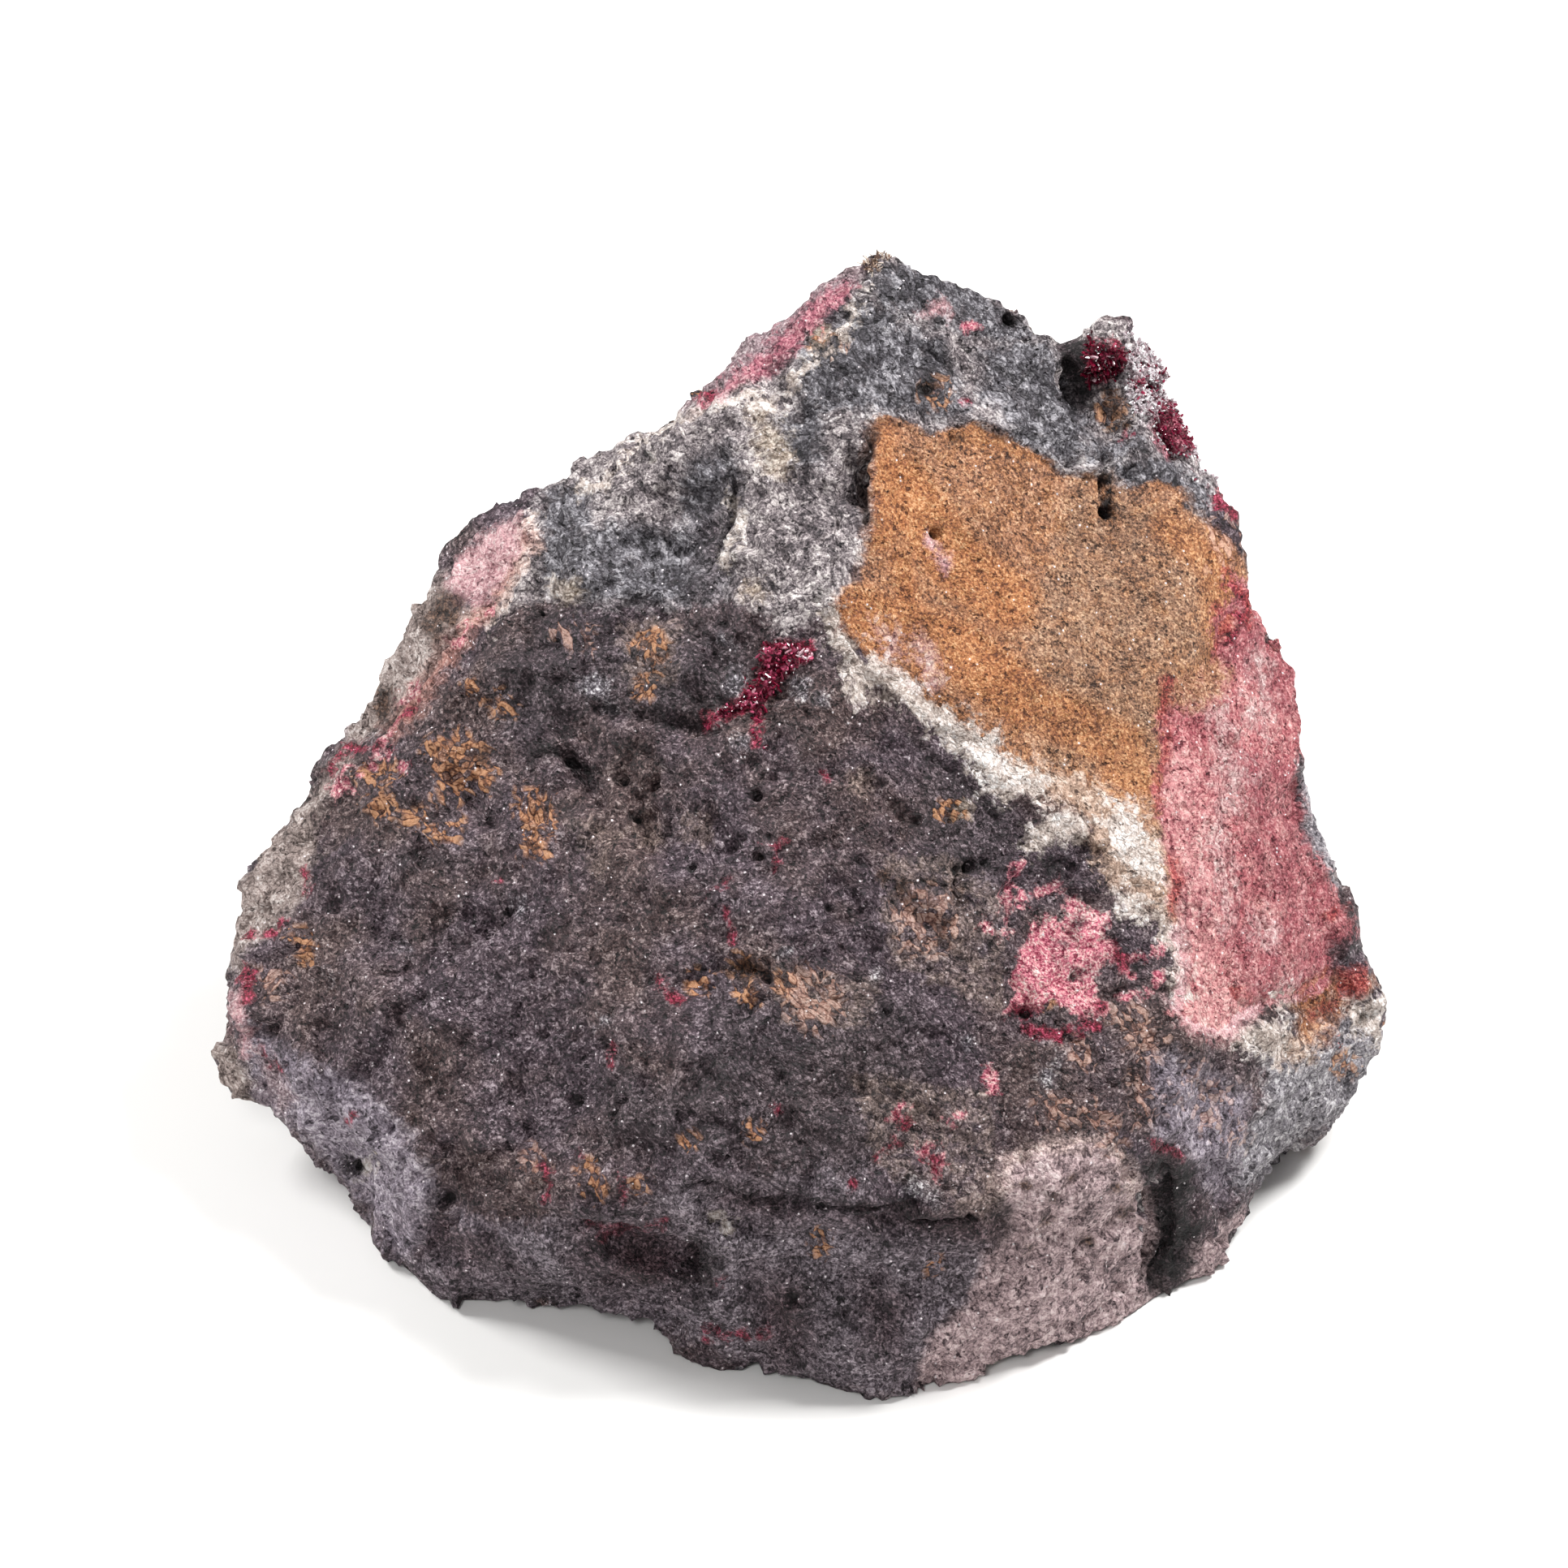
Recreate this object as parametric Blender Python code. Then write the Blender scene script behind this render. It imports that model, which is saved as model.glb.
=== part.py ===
# Erythrite on matrix: one loose broken stone, with crimson crystals in its hollow, on its upper edge
# and in a seam, and a granular pink crust on its right face.
# Metres, +Z up. The origin is under the middle of the stone, on the surface it rests on.

import math
import random

import bmesh
import bpy
from mathutils import Matrix, Vector, noise

MM = 0.001

# Driving dimensions in metres, and triangle counts
BLOCK_GRID = 0.9 * MM
CARVED_GRID = 0.55 * MM
STONE_TRIANGLES = 5800
CRUST_GAP = 0.32 * MM
CRUST_EDGE = 0.25 * MM
STEEPEST_CORNER = 0.4
UNDERSIDE_HOLLOW = 3.3 * MM
UNDERSIDE_RIM = 2.5

# A crystal's height, as a share of its face's width, and how far its tip leans, in the same share
CRYSTAL_SLENDERNESS = (0.35, 1.0)
CRYSTAL_LEAN = 0.22

# How wide the slope at a crust's edge is, in millimetres, and in the facing of the stone
RECESS_SLOPE = 1.5
RECESS_TURN = 0.25

# Corners of the stone in millimetres, named as seen from the front, before it is moved to its origin.
# The body is the convex block that they span.
BODY_CORNERS = {
    "peak": (6, 26, 67),
    "crest right": (14.5, 24.6, 61.7),
    "crest saddle": (20.5, 25.0, 55.9),
    "saddle back": (22.0, 29.2, 53.2),
    "upper edge top": (28.4, 26.2, 56),
    "upper edge": (30.8, 24, 53.3),
    "shoulder": (33.2, 21.6, 49.8),
    "shoulder low": (33.9, 18, 45),
    "brow": (37, 14, 41),
    "crest left": (-4.5, 25.6, 58.9),
    "crest low": (-13.5, 21, 51.7),
    "left gable": (-22.5, 17.5, 47.2),
    "left gable back": (-29.2, 20.2, 41.6),
    "left arm": (-33.8, 15.5, 34.6),
    "left arm low": (-37.4, 8.4, 28.4),
    "left arm foot": (-45.4, 4.0, 19.8),
    "prow back": (-47.4, -0.5, 15.5),
    "prow": (-46.4, -7.5, 14.5),
    "prow foot": (-47, -6, 8),
    "front ridge": (-37, -18, 14),
    "front ridge end": (-29.8, -25.2, 9.3),
    "front top left": (-22.5, 9, 44.5),
    "front top right": (1.5, -1, 49.5),
    "slab top left": (6, 14, 57.7),
    "slab foot": (28.5, -14, 28.5),
    "ledge left": (-22.5, -29.3, 12),
    "ledge roll": (-15.5, -32.8, 17),
    "ledge middle": (-8.5, -35, 20),
    "ledge front": (0.5, -35.7, 18.8),
    "ledge right": (15.5, -34.3, 17.5),
    "lower right": (24.5, -29, 19.5),
    "crust foot": (30.5, -21, 23.5),
    "lower right end": (32.5, -23, 13),
    "hip": (42.3, -1, 18.8),
    "elbow": (44.3, -5.5, 14.9),
    "right corner": (47.7, -5, 10.8),
    "right heel": (44, -7.5, 3),
    "toe right": (34.8, -20.5, 3.5),
    "toe right foot": (33, -22.7, 0),
    "toe": (27.5, -27, -0.5),
    "toe middle": (19.9, -32.6, -0.5),
    "toe front": (11.5, -36, -0.5),
    "toe nose": (5.5, -37.6, -0.5),
    "toe left": (-2.5, -35.8, -0.5),
    "toe left end": (-9.5, -31.8, -0.5),
    "base left": (-29.1, -26.4, -0.5),
    "base left heel": (-34.5, -20.8, 0.5),
    "base left back": (-40, 2, -0.5),
    "base back left": (-35, 20, -0.5),
    "base back": (-16, 32, -0.5),
    "base back right": (14, 37, -0.5),
    "base right back": (32, 29, -0.5),
    "base right": (41, 10, -0.5),
    "back bulge left": (-24, 30, 22),
    "back bulge": (0, 36, 30),
    "back bulge right": (26, 33, 24),
    "back right": (41, 13, 18),
}

# Smaller blocks that stand out of the body
BLOCK_CORNERS = {
    "knob": [
        (22.8, 25.3, 58),
        (24.6, 25.3, 59.4),
        (26.2, 25.6, 58.6),
        (26, 26, 56.4),
        (22.6, 23.6, 57),
        (26.4, 22.8, 56),
        (22, 28.5, 56),
        (27, 29, 54),
        (23, 22, 52),
        (27, 22, 52),
    ],
    "right slab": [
        (36, 14, 41),
        (38, 15.4, 37.5),
        (41.3, 14.6, 34.7),
        (41.2, 11, 31.8),
        (40.2, 8.3, 29.4),
        (39.4, 15.8, 31),
        (39.4, 9.5, 26.5),
        (28.5, 3, 39.5),
        (30, -20, 24.3),
        (41, -9, 19),
        (30, 10, 25),
        (30, -8, 18),
    ],
    "flake": [
        (-48.9, -5.6, 8.8),
        (-48.4, -7.0, 7.6),
        (-46.6, -8.4, 5.6),
        (-46.2, -4.2, 6),
        (-43.5, -10, 6.2),
        (-43.5, -9.4, 10.2),
        (-43.5, -3, 9.4),
    ],
}

# Hollows cut out of the stone: middle, the way the hollow opens, and its three radii, in millimetres
CUTS = {
    "pocket": ((22.1, 22.1, 56.0), (0.2, -0.5, 0.8), (1.15, 3.2, 3.3)),
    "saddle": ((21.3, 25.5, 60.3), (0.0, -0.2, 1.0), (2.0, 6.0, 2.7)),
    "druse hollow": ((24.4, 22.9, 55.6), (0.3, -0.9, 0.3), (1.9, 1.7, 1.8)),
    "brown hollow": ((24.4, 20.4, 53.9), (0.4, -0.5, 0.7), (0.9, 2.0, 1.4)),
    "crack by the slab": ((4.2, 9.4, 55.9), (0.0, -0.5, 0.8), (0.9, 4.4, 3.2)),
    "chip scar": ((-13.0, 6.4, 56.2), (-0.3, -0.4, 0.8), (8.8, 9.6, 9.0)),
    "crevice": ((28.9, -27.0, 9.0), (0.55, -0.83, 0.0), (1.5, 6.2, 3.4)),
    "ledge hollow left": ((-12.6, -34.6, 11.0), (-0.2, -1.0, 0.0), (4.6, 2.4, 3.6)),
    "ledge groove left": ((-5.0, -36.4, 16.6), (0.0, -1.0, -0.5), (5.2, 1.9, 3.6)),
    "ledge groove right": ((9.0, -36.4, 15.2), (0.1, -1.0, -0.5), (6.6, 1.5, 3.2)),
    "toe groove": ((-1.6, -36.6, 7.0), (-0.2, -1.0, 0.0), (0.9, 3.2, 1.5)),
    "crest hole": ((16.2, 24.3, 61.6), (0.3, -0.4, 0.8), (0.9, 0.9, 1.4)),
    "side undercut": ((41.8, 4.0, 26.5), (0.9, -0.1, 0.1), (3.2, 4.4, 2.6)),
    "back scar": ((12.0, 38.6, 36.0), (0.2, 1.0, 0.2), (12.0, 10.0, 7.0)),
    "back scar left": ((-30.5, 31.5, 18.0), (-0.5, 1.0, 0.2), (11.0, 8.0, 7.0)),
    "back scar right": ((40.5, 26.0, 17.0), (0.8, 0.7, 0.1), (9.0, 11.0, 7.0)),
}

# Soft dents: the two ends of the dent's line, its radius and its depth, in millimetres.
# A negative depth is a swelling.
DENTS = {
    "crest dip": ((-9.5, 22.5, 54.0), (-9.5, 22.5, 54.0), 6.5, 1.3),
    "gable dip": ((-20.5, 18.6, 48.2), (-12.5, 21.5, 52.3), 6.5, 1.3),
    "arm dip": ((-36.5, 11.0, 31.0), (-36.5, 11.0, 31.0), 5.5, 2.2),
    "front ridge dip": ((-37.0, -18.5, 6.5), (-36.0, -20.0, 5.5), 6.5, 2.2),
    "toe dip left": ((-24.0, -29.0, 0.0), (-14.5, -31.0, 0.0), 6.5, 2.0),
    "toe dip right": ((38.5, -14.5, 3.0), (38.5, -14.5, 3.0), 7.0, 2.3),
    "grey rim": ((7.0, 15.9, 58.6), (17.0, 17.7, 55.6), 2.6, -0.6),
    "grey rim right": ((17.0, 17.7, 55.6), (24.0, 17.2, 51.6), 2.4, -0.6),
    "slab lip": ((6.2, 11.5, 57.0), (5.8, 5.5, 53.6), 3.0, -0.8),
    "gully": ((22.6, 20.5, 54.6), (24.3, 15.8, 50.5), 1.6, 0.9),
    "grey hollow": ((9.7, 19.0, 60.0), (9.7, 15.8, 57.8), 1.5, 0.8),
    "front left hollow": ((-21.0, -24.0, 21.0), (-23.0, -19.0, 23.5), 8.0, 1.1),
    "front middle swelling": ((-10.0, -26.0, 25.0), (2.0, -26.0, 26.0), 9.0, -0.7),
    "front upper hollow": ((-14.0, -8.0, 38.0), (-19.0, -3.0, 38.5), 5.0, 0.8),
    "seam dip": ((0.6, -2.0, 48.4), (-3.4, -4.6, 44.6), 2.6, 0.9),
    "seam dip end": ((-3.4, -4.6, 44.6), (-9.0, -4.6, 41.6), 2.2, 0.7),
    "below the ledge": ((-9.0, -35.0, 12.0), (12.0, -36.0, 11.0), 5.0, 0.9),
    "ledge notch": ((-4.5, -35.5, 20.0), (-3.0, -36.0, 18.0), 4.5, 1.5),
    "ledge swelling left": ((-16.0, -32.5, 15.5), (-20.0, -30.0, 12.5), 5.0, -1.1),
    "ledge dip left": ((-11.5, -34.0, 19.0), (-11.5, -34.0, 17.0), 3.0, 0.9),
    "ledge swelling right": ((20.0, -32.0, 17.0), (22.5, -31.0, 14.0), 4.5, -0.9),
    "ledge dip right": ((16.0, -34.0, 17.5), (15.5, -34.5, 14.0), 3.0, 0.9),
    "belly": ((4.0, -37.0, 4.0), (10.0, -36.5, 5.0), 5.0, -0.7),
    "back hollow": ((-12.0, 34.0, 24.0), (-6.0, 36.0, 12.0), 9.0, 1.8),
    "back ridge": ((6.0, 30.0, 58.0), (4.0, 37.0, 32.0), 5.0, -1.2),
}

# Outlines of the crusts in plan, in millimetres
SIDE_CRUST_OUTLINE = [
    (35.0, 14.2),
    (38.2, 16.2),
    (41.8, 14.6),
    (41.2, 7.0),
    (41.6, 1.5),
    (43.4, -2.4),
    (45.0, -5.6),
    (42.0, -10.4),
    (36.0, -15.6),
    (30.2, -20.6),
    (28.6, -14.7),
    (27.9, -6.4),
    (28.4, 2.5),
    (32.4, 9.4),
]
SEAM_OUTLINE = [
    (1.0, -1.6),
    (-0.2, -4.0),
    (-3.0, -5.6),
    (-3.8, -8.0),
    (-5.4, -7.0),
    (-7.6, -5.6),
    (-9.6, -5.0),
    (-7.6, -3.6),
    (-4.8, -3.4),
    (-3.4, -1.4),
    (-0.8, -0.6),
]
EDGE_OUTLINE = [
    (26.2, 26.2),
    (28.6, 27.4),
    (31.2, 25.0),
    (33.8, 21.8),
    (32.8, 18.8),
    (29.6, 18.8),
    (27.2, 19.6),
    (26.4, 21.8),
]
POCKET_OUTLINE = [
    (22.6, 24.9),
    (25.6, 25.2),
    (26.2, 23.4),
    (25.2, 21.9),
    (23.4, 21.9),
    (22.6, 23.0),
]


def clear_scene():
    for item in list(bpy.data.objects):
        bpy.data.objects.remove(item, do_unlink=True)


def material(name, colour, roughness):
    made = bpy.data.materials.new(name)
    made.use_nodes = True
    shader = made.node_tree.nodes["Principled BSDF"]
    shader.inputs["Base Color"].default_value = (*colour, 1.0)
    shader.inputs["Roughness"].default_value = roughness
    shader.inputs["Metallic"].default_value = 0.0
    made.diffuse_color = (*colour, 1.0)
    return made


def stone_material():
    return material("grey fibrous matrix", (0.11, 0.10, 0.11), 0.8)


def pink_crust_material():
    return material("granular pink erythrite", (0.46, 0.10, 0.13), 0.75)


def crimson_material():
    return material("crimson erythrite crystals", (0.25, 0.004, 0.03), 0.3)


def white_druse_material():
    return material("white and crimson druse", (0.42, 0.22, 0.26), 0.35)


def add_object(name, mesh):
    item = bpy.data.objects.new(name, mesh)
    bpy.context.scene.collection.objects.link(item)
    return item


def object_from(name, shape):
    mesh = bpy.data.meshes.new(name)
    shape.to_mesh(mesh)
    shape.free()
    return add_object(name, mesh)


def add_hull(shape, points):
    """The convex hull of the points, added to the shape."""
    corners = [shape.verts.new(point) for point in points]
    hull = bmesh.ops.convex_hull(shape, input=corners)
    inside = [item for item in hull["geom_interior"] if isinstance(item, bmesh.types.BMVert)]
    bmesh.ops.delete(shape, geom=inside, context="VERTS")


def convex_block(name, corners):
    shape = bmesh.new()
    add_hull(shape, [Vector(corner) * MM for corner in corners])
    return object_from(name, shape)


def apply_modifier(item, kind, **settings):
    modifier = item.modifiers.new(kind, kind)
    for key, value in settings.items():
        setattr(modifier, key, value)
    bpy.context.view_layer.objects.active = item
    bpy.ops.object.modifier_apply(modifier=modifier.name)


def joined(items):
    bpy.ops.object.select_all(action="DESELECT")
    for item in items:
        item.select_set(True)
    bpy.context.view_layer.objects.active = items[0]
    bpy.ops.object.join()
    return items[0]


def cut(stone, name, middle, opening, radii):
    """Takes an ellipsoid, whose short way faces its opening, out of the stone."""
    shape = bmesh.new()
    bmesh.ops.create_icosphere(shape, subdivisions=3, radius=1.0)
    cutter = object_from(name, shape)
    cutter.scale = Vector(radii) * MM
    cutter.rotation_mode = "QUATERNION"
    cutter.rotation_quaternion = Vector(opening).to_track_quat("Z", "Y")
    cutter.location = Vector(middle) * MM
    bpy.context.view_layer.update()
    apply_modifier(stone, "BOOLEAN", operation="DIFFERENCE", solver="EXACT", object=cutter)
    bpy.data.objects.remove(cutter, do_unlink=True)


def distance_to_line(point, start, end):
    along = end - start
    length = along.length_squared
    share = 0.0 if length == 0 else min(1.0, max(0.0, (point - start).dot(along) / length))
    return (point - start - along * share).length


def dent_depth(point):
    depth = 0.0
    for start, end, radius, deepest in DENTS.values():
        distance = distance_to_line(point, Vector(start) * MM, Vector(end) * MM)
        if distance < radius * MM:
            depth += deepest * MM * (1 - (distance / (radius * MM)) ** 2) ** 2
    return depth


def in_outline(x, y, outline):
    inside = False
    for (x1, y1), (x2, y2) in zip(outline, outline[1:] + outline[:1]):
        if (y1 > y) != (y2 > y) and x < x1 + (y - y1) * (x2 - x1) / (y2 - y1):
            inside = not inside
    return inside


def edge_distance(x, y, outline):
    """The distance in plan to the outline, in millimetres."""
    here = Vector((x, y, 0))
    ends = [Vector((*corner, 0)) for corner in outline]
    return min(distance_to_line(here, a, b) for a, b in zip(ends, ends[1:] + ends[:1]))


def in_crust(crust, point, normal):
    """Whether the crust covers this place on the stone."""
    if not crust["lowest"] * MM < point.z < crust["highest"] * MM:
        return False
    if normal.dot(Vector(crust["facing"])) < crust["turn"]:
        return False
    return in_outline(point.x / MM, point.y / MM, crust["outline"])


# Each crust lies within its outline, between its lowest and highest point in millimetres, where the
# stone faces its way: the part of the normal along it is above the turn. Its crystals' height is
# scaled by its growth, and a refined crust has facets half as wide as the stone's.
CRUSTS = {
    "side_crust": {
        "outline": SIDE_CRUST_OUTLINE,
        "lowest": 12,
        "highest": 41.5,
        "facing": (0.7, -0.35, 0.62),
        "turn": 0.6,
        "thickness": 0.8 * MM,
        "growth": 0.35,
        "refined": False,
        "material": pink_crust_material,
    },
    "pocket_druse": {
        "outline": POCKET_OUTLINE,
        "lowest": 53,
        "highest": 59,
        "facing": (0.1, -0.9, 0.4),
        "turn": -0.2,
        "thickness": 0.45 * MM,
        "growth": 1.0,
        "refined": True,
        "material": crimson_material,
    },
    "edge_druse": {
        "outline": EDGE_OUTLINE,
        "lowest": 47,
        "highest": 60,
        "facing": (0.75, -0.3, 0.55),
        "turn": 0.1,
        "thickness": 0.45 * MM,
        "growth": 0.8,
        "refined": True,
        "material": white_druse_material,
    },
    "seam_druse": {
        "outline": SEAM_OUTLINE,
        "lowest": 36,
        "highest": 52,
        "facing": (-0.3, -0.5, 0.8),
        "turn": 0.2,
        "thickness": 0.45 * MM,
        "growth": 0.8,
        "refined": True,
        "material": crimson_material,
    },
}


def recess_depth(point, normal):
    """How far the stone lies lower under a crust, so that the crust stands only a little proud."""
    for crust in CRUSTS.values():
        if in_crust(crust, point, normal):
            inset = edge_distance(point.x / MM, point.y / MM, crust["outline"]) / RECESS_SLOPE
            turned = (normal.dot(Vector(crust["facing"])) - crust["turn"]) / RECESS_TURN
            share = min(1.0, inset, turned)
            return (CRUST_GAP + 0.7 * crust["thickness"]) * share * share * (3 - 2 * share)
    return 0.0


def roughness_height(point, normal):
    """Lumps, smaller lumps and a fibrous grain, in metres out of the surface."""
    lumps = noise.noise(point / (11 * MM)) * 0.9
    knobs = noise.noise(point / (4.5 * MM) + Vector((7, 3, 1))) * 0.5
    ridges = noise.ridged_multi_fractal(point / (7 * MM), 0.9, 2.1, 3, 0.9, 2.0) * 0.22
    back = 1.8 if normal.y > 0.3 else 1.0
    return (lumps * back + knobs + ridges - 0.55) * MM


def underside_height(point, rim):
    """The shallow hollows between the pads that the stone rests on, none of them near its rim."""
    if not in_outline(point.x / MM, point.y / MM, rim):
        return 0.0
    share = min(1.0, edge_distance(point.x / MM, point.y / MM, rim) / UNDERSIDE_RIM)
    hollow = noise.noise(point / (13 * MM) + Vector((2, 5, 0))) - 0.12
    return max(0.0, hollow) * share * UNDERSIDE_HOLLOW


def shape_surface(stone):
    """Presses the dents in, adds the roughness and flattens the underside."""
    rim = [(x, y) for x, y, z in BODY_CORNERS.values() if z <= 0.5]
    shape = bmesh.new()
    shape.from_mesh(stone.data)
    shape.normal_update()
    moves = []
    for vertex in shape.verts:
        height = roughness_height(vertex.co, vertex.normal) - dent_depth(vertex.co)
        moves.append(vertex.normal * height)
    for vertex, move in zip(shape.verts, moves):
        vertex.co += move
    shape.normal_update()
    recesses = [vertex.normal * recess_depth(vertex.co, vertex.normal) for vertex in shape.verts]
    for vertex, recess in zip(shape.verts, recesses):
        vertex.co -= recess
        if vertex.co.z < 0.6 * MM:
            vertex.co.z = underside_height(vertex.co, rim)
    shape.to_mesh(stone.data)
    shape.free()


def level_underside(stone):
    """Brings the corners that the stone rests on into one plane."""
    for vertex in stone.data.vertices:
        if vertex.co.z < 0.1 * MM:
            vertex.co.z = 0.0


def build_matrix():
    blocks = [convex_block("matrix", BODY_CORNERS.values())]
    for name, corners in BLOCK_CORNERS.items():
        blocks.append(convex_block(name, corners))
    stone = joined(blocks)
    apply_modifier(stone, "REMESH", mode="VOXEL", voxel_size=BLOCK_GRID)
    for name, (middle, opening, radii) in CUTS.items():
        cut(stone, name, middle, opening, radii)
    apply_modifier(stone, "REMESH", mode="VOXEL", voxel_size=CARVED_GRID)
    shape_surface(stone)
    apply_modifier(stone, "REMESH", mode="VOXEL", voxel_size=CARVED_GRID)
    apply_modifier(stone, "SMOOTH", factor=0.5, iterations=3)
    apply_modifier(stone, "TRIANGULATE")
    apply_modifier(stone, "DECIMATE", ratio=STONE_TRIANGLES / len(stone.data.polygons))
    level_underside(stone)
    stone.data.materials.append(stone_material())
    return stone


def crust_thickness(crust, point, at_edge):
    if at_edge:
        return CRUST_EDGE
    inset = edge_distance(point.x / MM, point.y / MM, crust["outline"]) / RECESS_SLOPE
    grain = 1 + 0.35 * noise.noise(point / (3 * MM))
    return max(CRUST_EDGE, crust["thickness"] * min(1.0, 0.4 + 0.6 * inset) * grain)


def largest_patch(shape):
    """Keeps the largest connected patch of faces and removes the rest."""
    remaining = set(shape.faces)
    largest = set()
    while remaining:
        patch = {remaining.pop()}
        edge_faces = list(patch)
        while edge_faces:
            face = edge_faces.pop()
            for edge in face.edges:
                for other in edge.link_faces:
                    if other in remaining:
                        remaining.remove(other)
                        patch.add(other)
                        edge_faces.append(other)
        if len(patch) > len(largest):
            largest = patch
    others = [face for face in shape.faces if face not in largest]
    bmesh.ops.delete(shape, geom=others, context="FACES")


def split_pinches(shape):
    """Removes faces until no corner of the patch joins two parts of it by a point only."""
    while True:
        pinched = [
            vertex
            for vertex in shape.verts
            if sum(1 for edge in vertex.link_edges if edge.is_boundary) > 2
        ]
        if not pinched:
            return
        faces = {face for vertex in pinched for face in vertex.link_faces}
        bmesh.ops.delete(shape, geom=list(faces), context="FACES")
        largest_patch(shape)


def trim_ears(shape):
    """Removes faces that hang on the patch by one edge only, so that its outline has no spikes."""
    while True:
        ears = [face for face in shape.faces if sum(edge.is_boundary for edge in face.edges) > 1]
        if not ears:
            return
        bmesh.ops.delete(shape, geom=ears, context="FACES")
        largest_patch(shape)


def is_crumpled(vertex):
    """Whether the faces round the corner turn so sharply that a crust over them would meet the stone."""
    return min(vertex.normal.dot(face.normal) for face in vertex.link_faces) < STEEPEST_CORNER


def covered_patch(stone, crust):
    """The part of the stone's surface that the crust covers, as its own open sheet."""
    shape = bmesh.new()
    shape.from_mesh(stone.data)
    if crust["refined"]:
        bmesh.ops.subdivide_edges(shape, edges=shape.edges, cuts=1, use_grid_fill=True)
    shape.normal_update()
    crumpled = {vertex for vertex in shape.verts if is_crumpled(vertex)}
    bare = [
        face
        for face in shape.faces
        if not crumpled.isdisjoint(face.verts)
        or not in_crust(crust, face.calc_center_median(), face.normal)
    ]
    bmesh.ops.delete(shape, geom=bare, context="FACES")
    largest_patch(shape)
    split_pinches(shape)
    trim_ears(shape)
    return shape


def raise_crystals(shape, faces, crust, chance):
    """Raises a flat-faced, slightly leaning point on each of the faces."""
    for face in faces:
        normal = face.normal.copy()
        width = math.sqrt(face.calc_area())
        height = width * chance.uniform(*CRYSTAL_SLENDERNESS) * crust["growth"]
        tip = bmesh.ops.poke(shape, faces=[face], offset=height)["verts"][0]
        lean = Vector((chance.uniform(-1, 1), chance.uniform(-1, 1), chance.uniform(-1, 1)))
        tip.co += (lean - normal * lean.dot(normal)) * width * CRYSTAL_LEAN


def build_crust(name, stone, crust):
    """A closed crust that follows the stone at a small gap, thins out at its edge and bears crystals."""
    chance = random.Random(name)
    shape = covered_patch(stone, crust)
    shape.normal_update()
    lower = list(shape.verts)
    covered = list(shape.faces)
    outline = [edge for edge in shape.edges if edge.is_boundary]
    sides = [(edge.link_loops[0].vert, edge.link_loops[0].link_loop_next.vert) for edge in outline]
    at_edge = {vertex for edge in outline for vertex in edge.verts}
    upper = {}
    for vertex in lower:
        top = CRUST_GAP + crust_thickness(crust, vertex.co, vertex in at_edge)
        upper[vertex] = shape.verts.new(vertex.co + vertex.normal * top)
    for vertex in lower:
        vertex.co += vertex.normal * CRUST_GAP
    outer = [shape.faces.new([upper[vertex] for vertex in face.verts]) for face in covered]
    for first, second in sides:
        shape.faces.new([first, second, upper[second], upper[first]])
    bmesh.ops.reverse_faces(shape, faces=covered)
    shape.normal_update()
    raise_crystals(shape, outer, crust, chance)
    bmesh.ops.triangulate(shape, faces=shape.faces)
    crust_object = object_from(name, shape)
    crust_object.data.materials.append(crust["material"]())
    return crust_object


def set_on_origin(items):
    """Moves everything so that the origin is under the middle of the whole."""
    points = [vertex.co for item in items for vertex in item.data.vertices]
    middle_x = (min(point.x for point in points) + max(point.x for point in points)) / 2
    middle_y = (min(point.y for point in points) + max(point.y for point in points)) / 2
    lowest = min(point.z for point in points)
    for item in items:
        item.data.transform(Matrix.Translation((-middle_x, -middle_y, -lowest)))


clear_scene()
matrix = build_matrix()
crusts = [build_crust(name, matrix, crust) for name, crust in CRUSTS.items()]
set_on_origin([matrix, *crusts])
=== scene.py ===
# Erythrite on matrix: the looks of one loose stone, on a pale floor in soft studio light.
# Sizes are in millimetres unless a name or note says otherwise; Blender's unit here is the metre.

import math
import random

import bmesh
import bpy
import numpy as np
from mathutils import Matrix, Vector, noise
from mathutils.bvhtree import BVHTree
from mathutils.kdtree import KDTree


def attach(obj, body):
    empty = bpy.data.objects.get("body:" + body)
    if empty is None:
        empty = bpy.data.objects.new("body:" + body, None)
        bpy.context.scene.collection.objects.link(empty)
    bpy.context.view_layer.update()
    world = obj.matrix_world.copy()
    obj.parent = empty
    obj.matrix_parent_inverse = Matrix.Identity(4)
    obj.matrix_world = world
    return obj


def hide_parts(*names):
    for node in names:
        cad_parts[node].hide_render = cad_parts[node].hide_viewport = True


noise.seed_set(4)  # noise_vector is seeded by the clock otherwise
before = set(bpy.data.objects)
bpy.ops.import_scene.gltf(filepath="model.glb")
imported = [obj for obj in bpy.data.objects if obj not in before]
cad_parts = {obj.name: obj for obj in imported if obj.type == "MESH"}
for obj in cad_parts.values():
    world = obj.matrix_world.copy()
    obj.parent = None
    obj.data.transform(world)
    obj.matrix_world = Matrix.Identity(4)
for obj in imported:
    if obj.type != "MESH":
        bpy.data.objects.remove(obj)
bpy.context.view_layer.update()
mm = 0.001

# The camera stands where the stone was seen from. Marks on the stone are placed by where they show in
# a square picture from there, in pixels from its top left corner.
viewpoint = {
    "target": (-1.145, -5.04, 36.235),
    "distance": 620.0,
    "elevation": 38.0,  # degrees above the floor, looking along +Y
    "lens": 179.87,
    "sensor": 36.0,
    "picture": 1932,  # pixels
}

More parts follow.
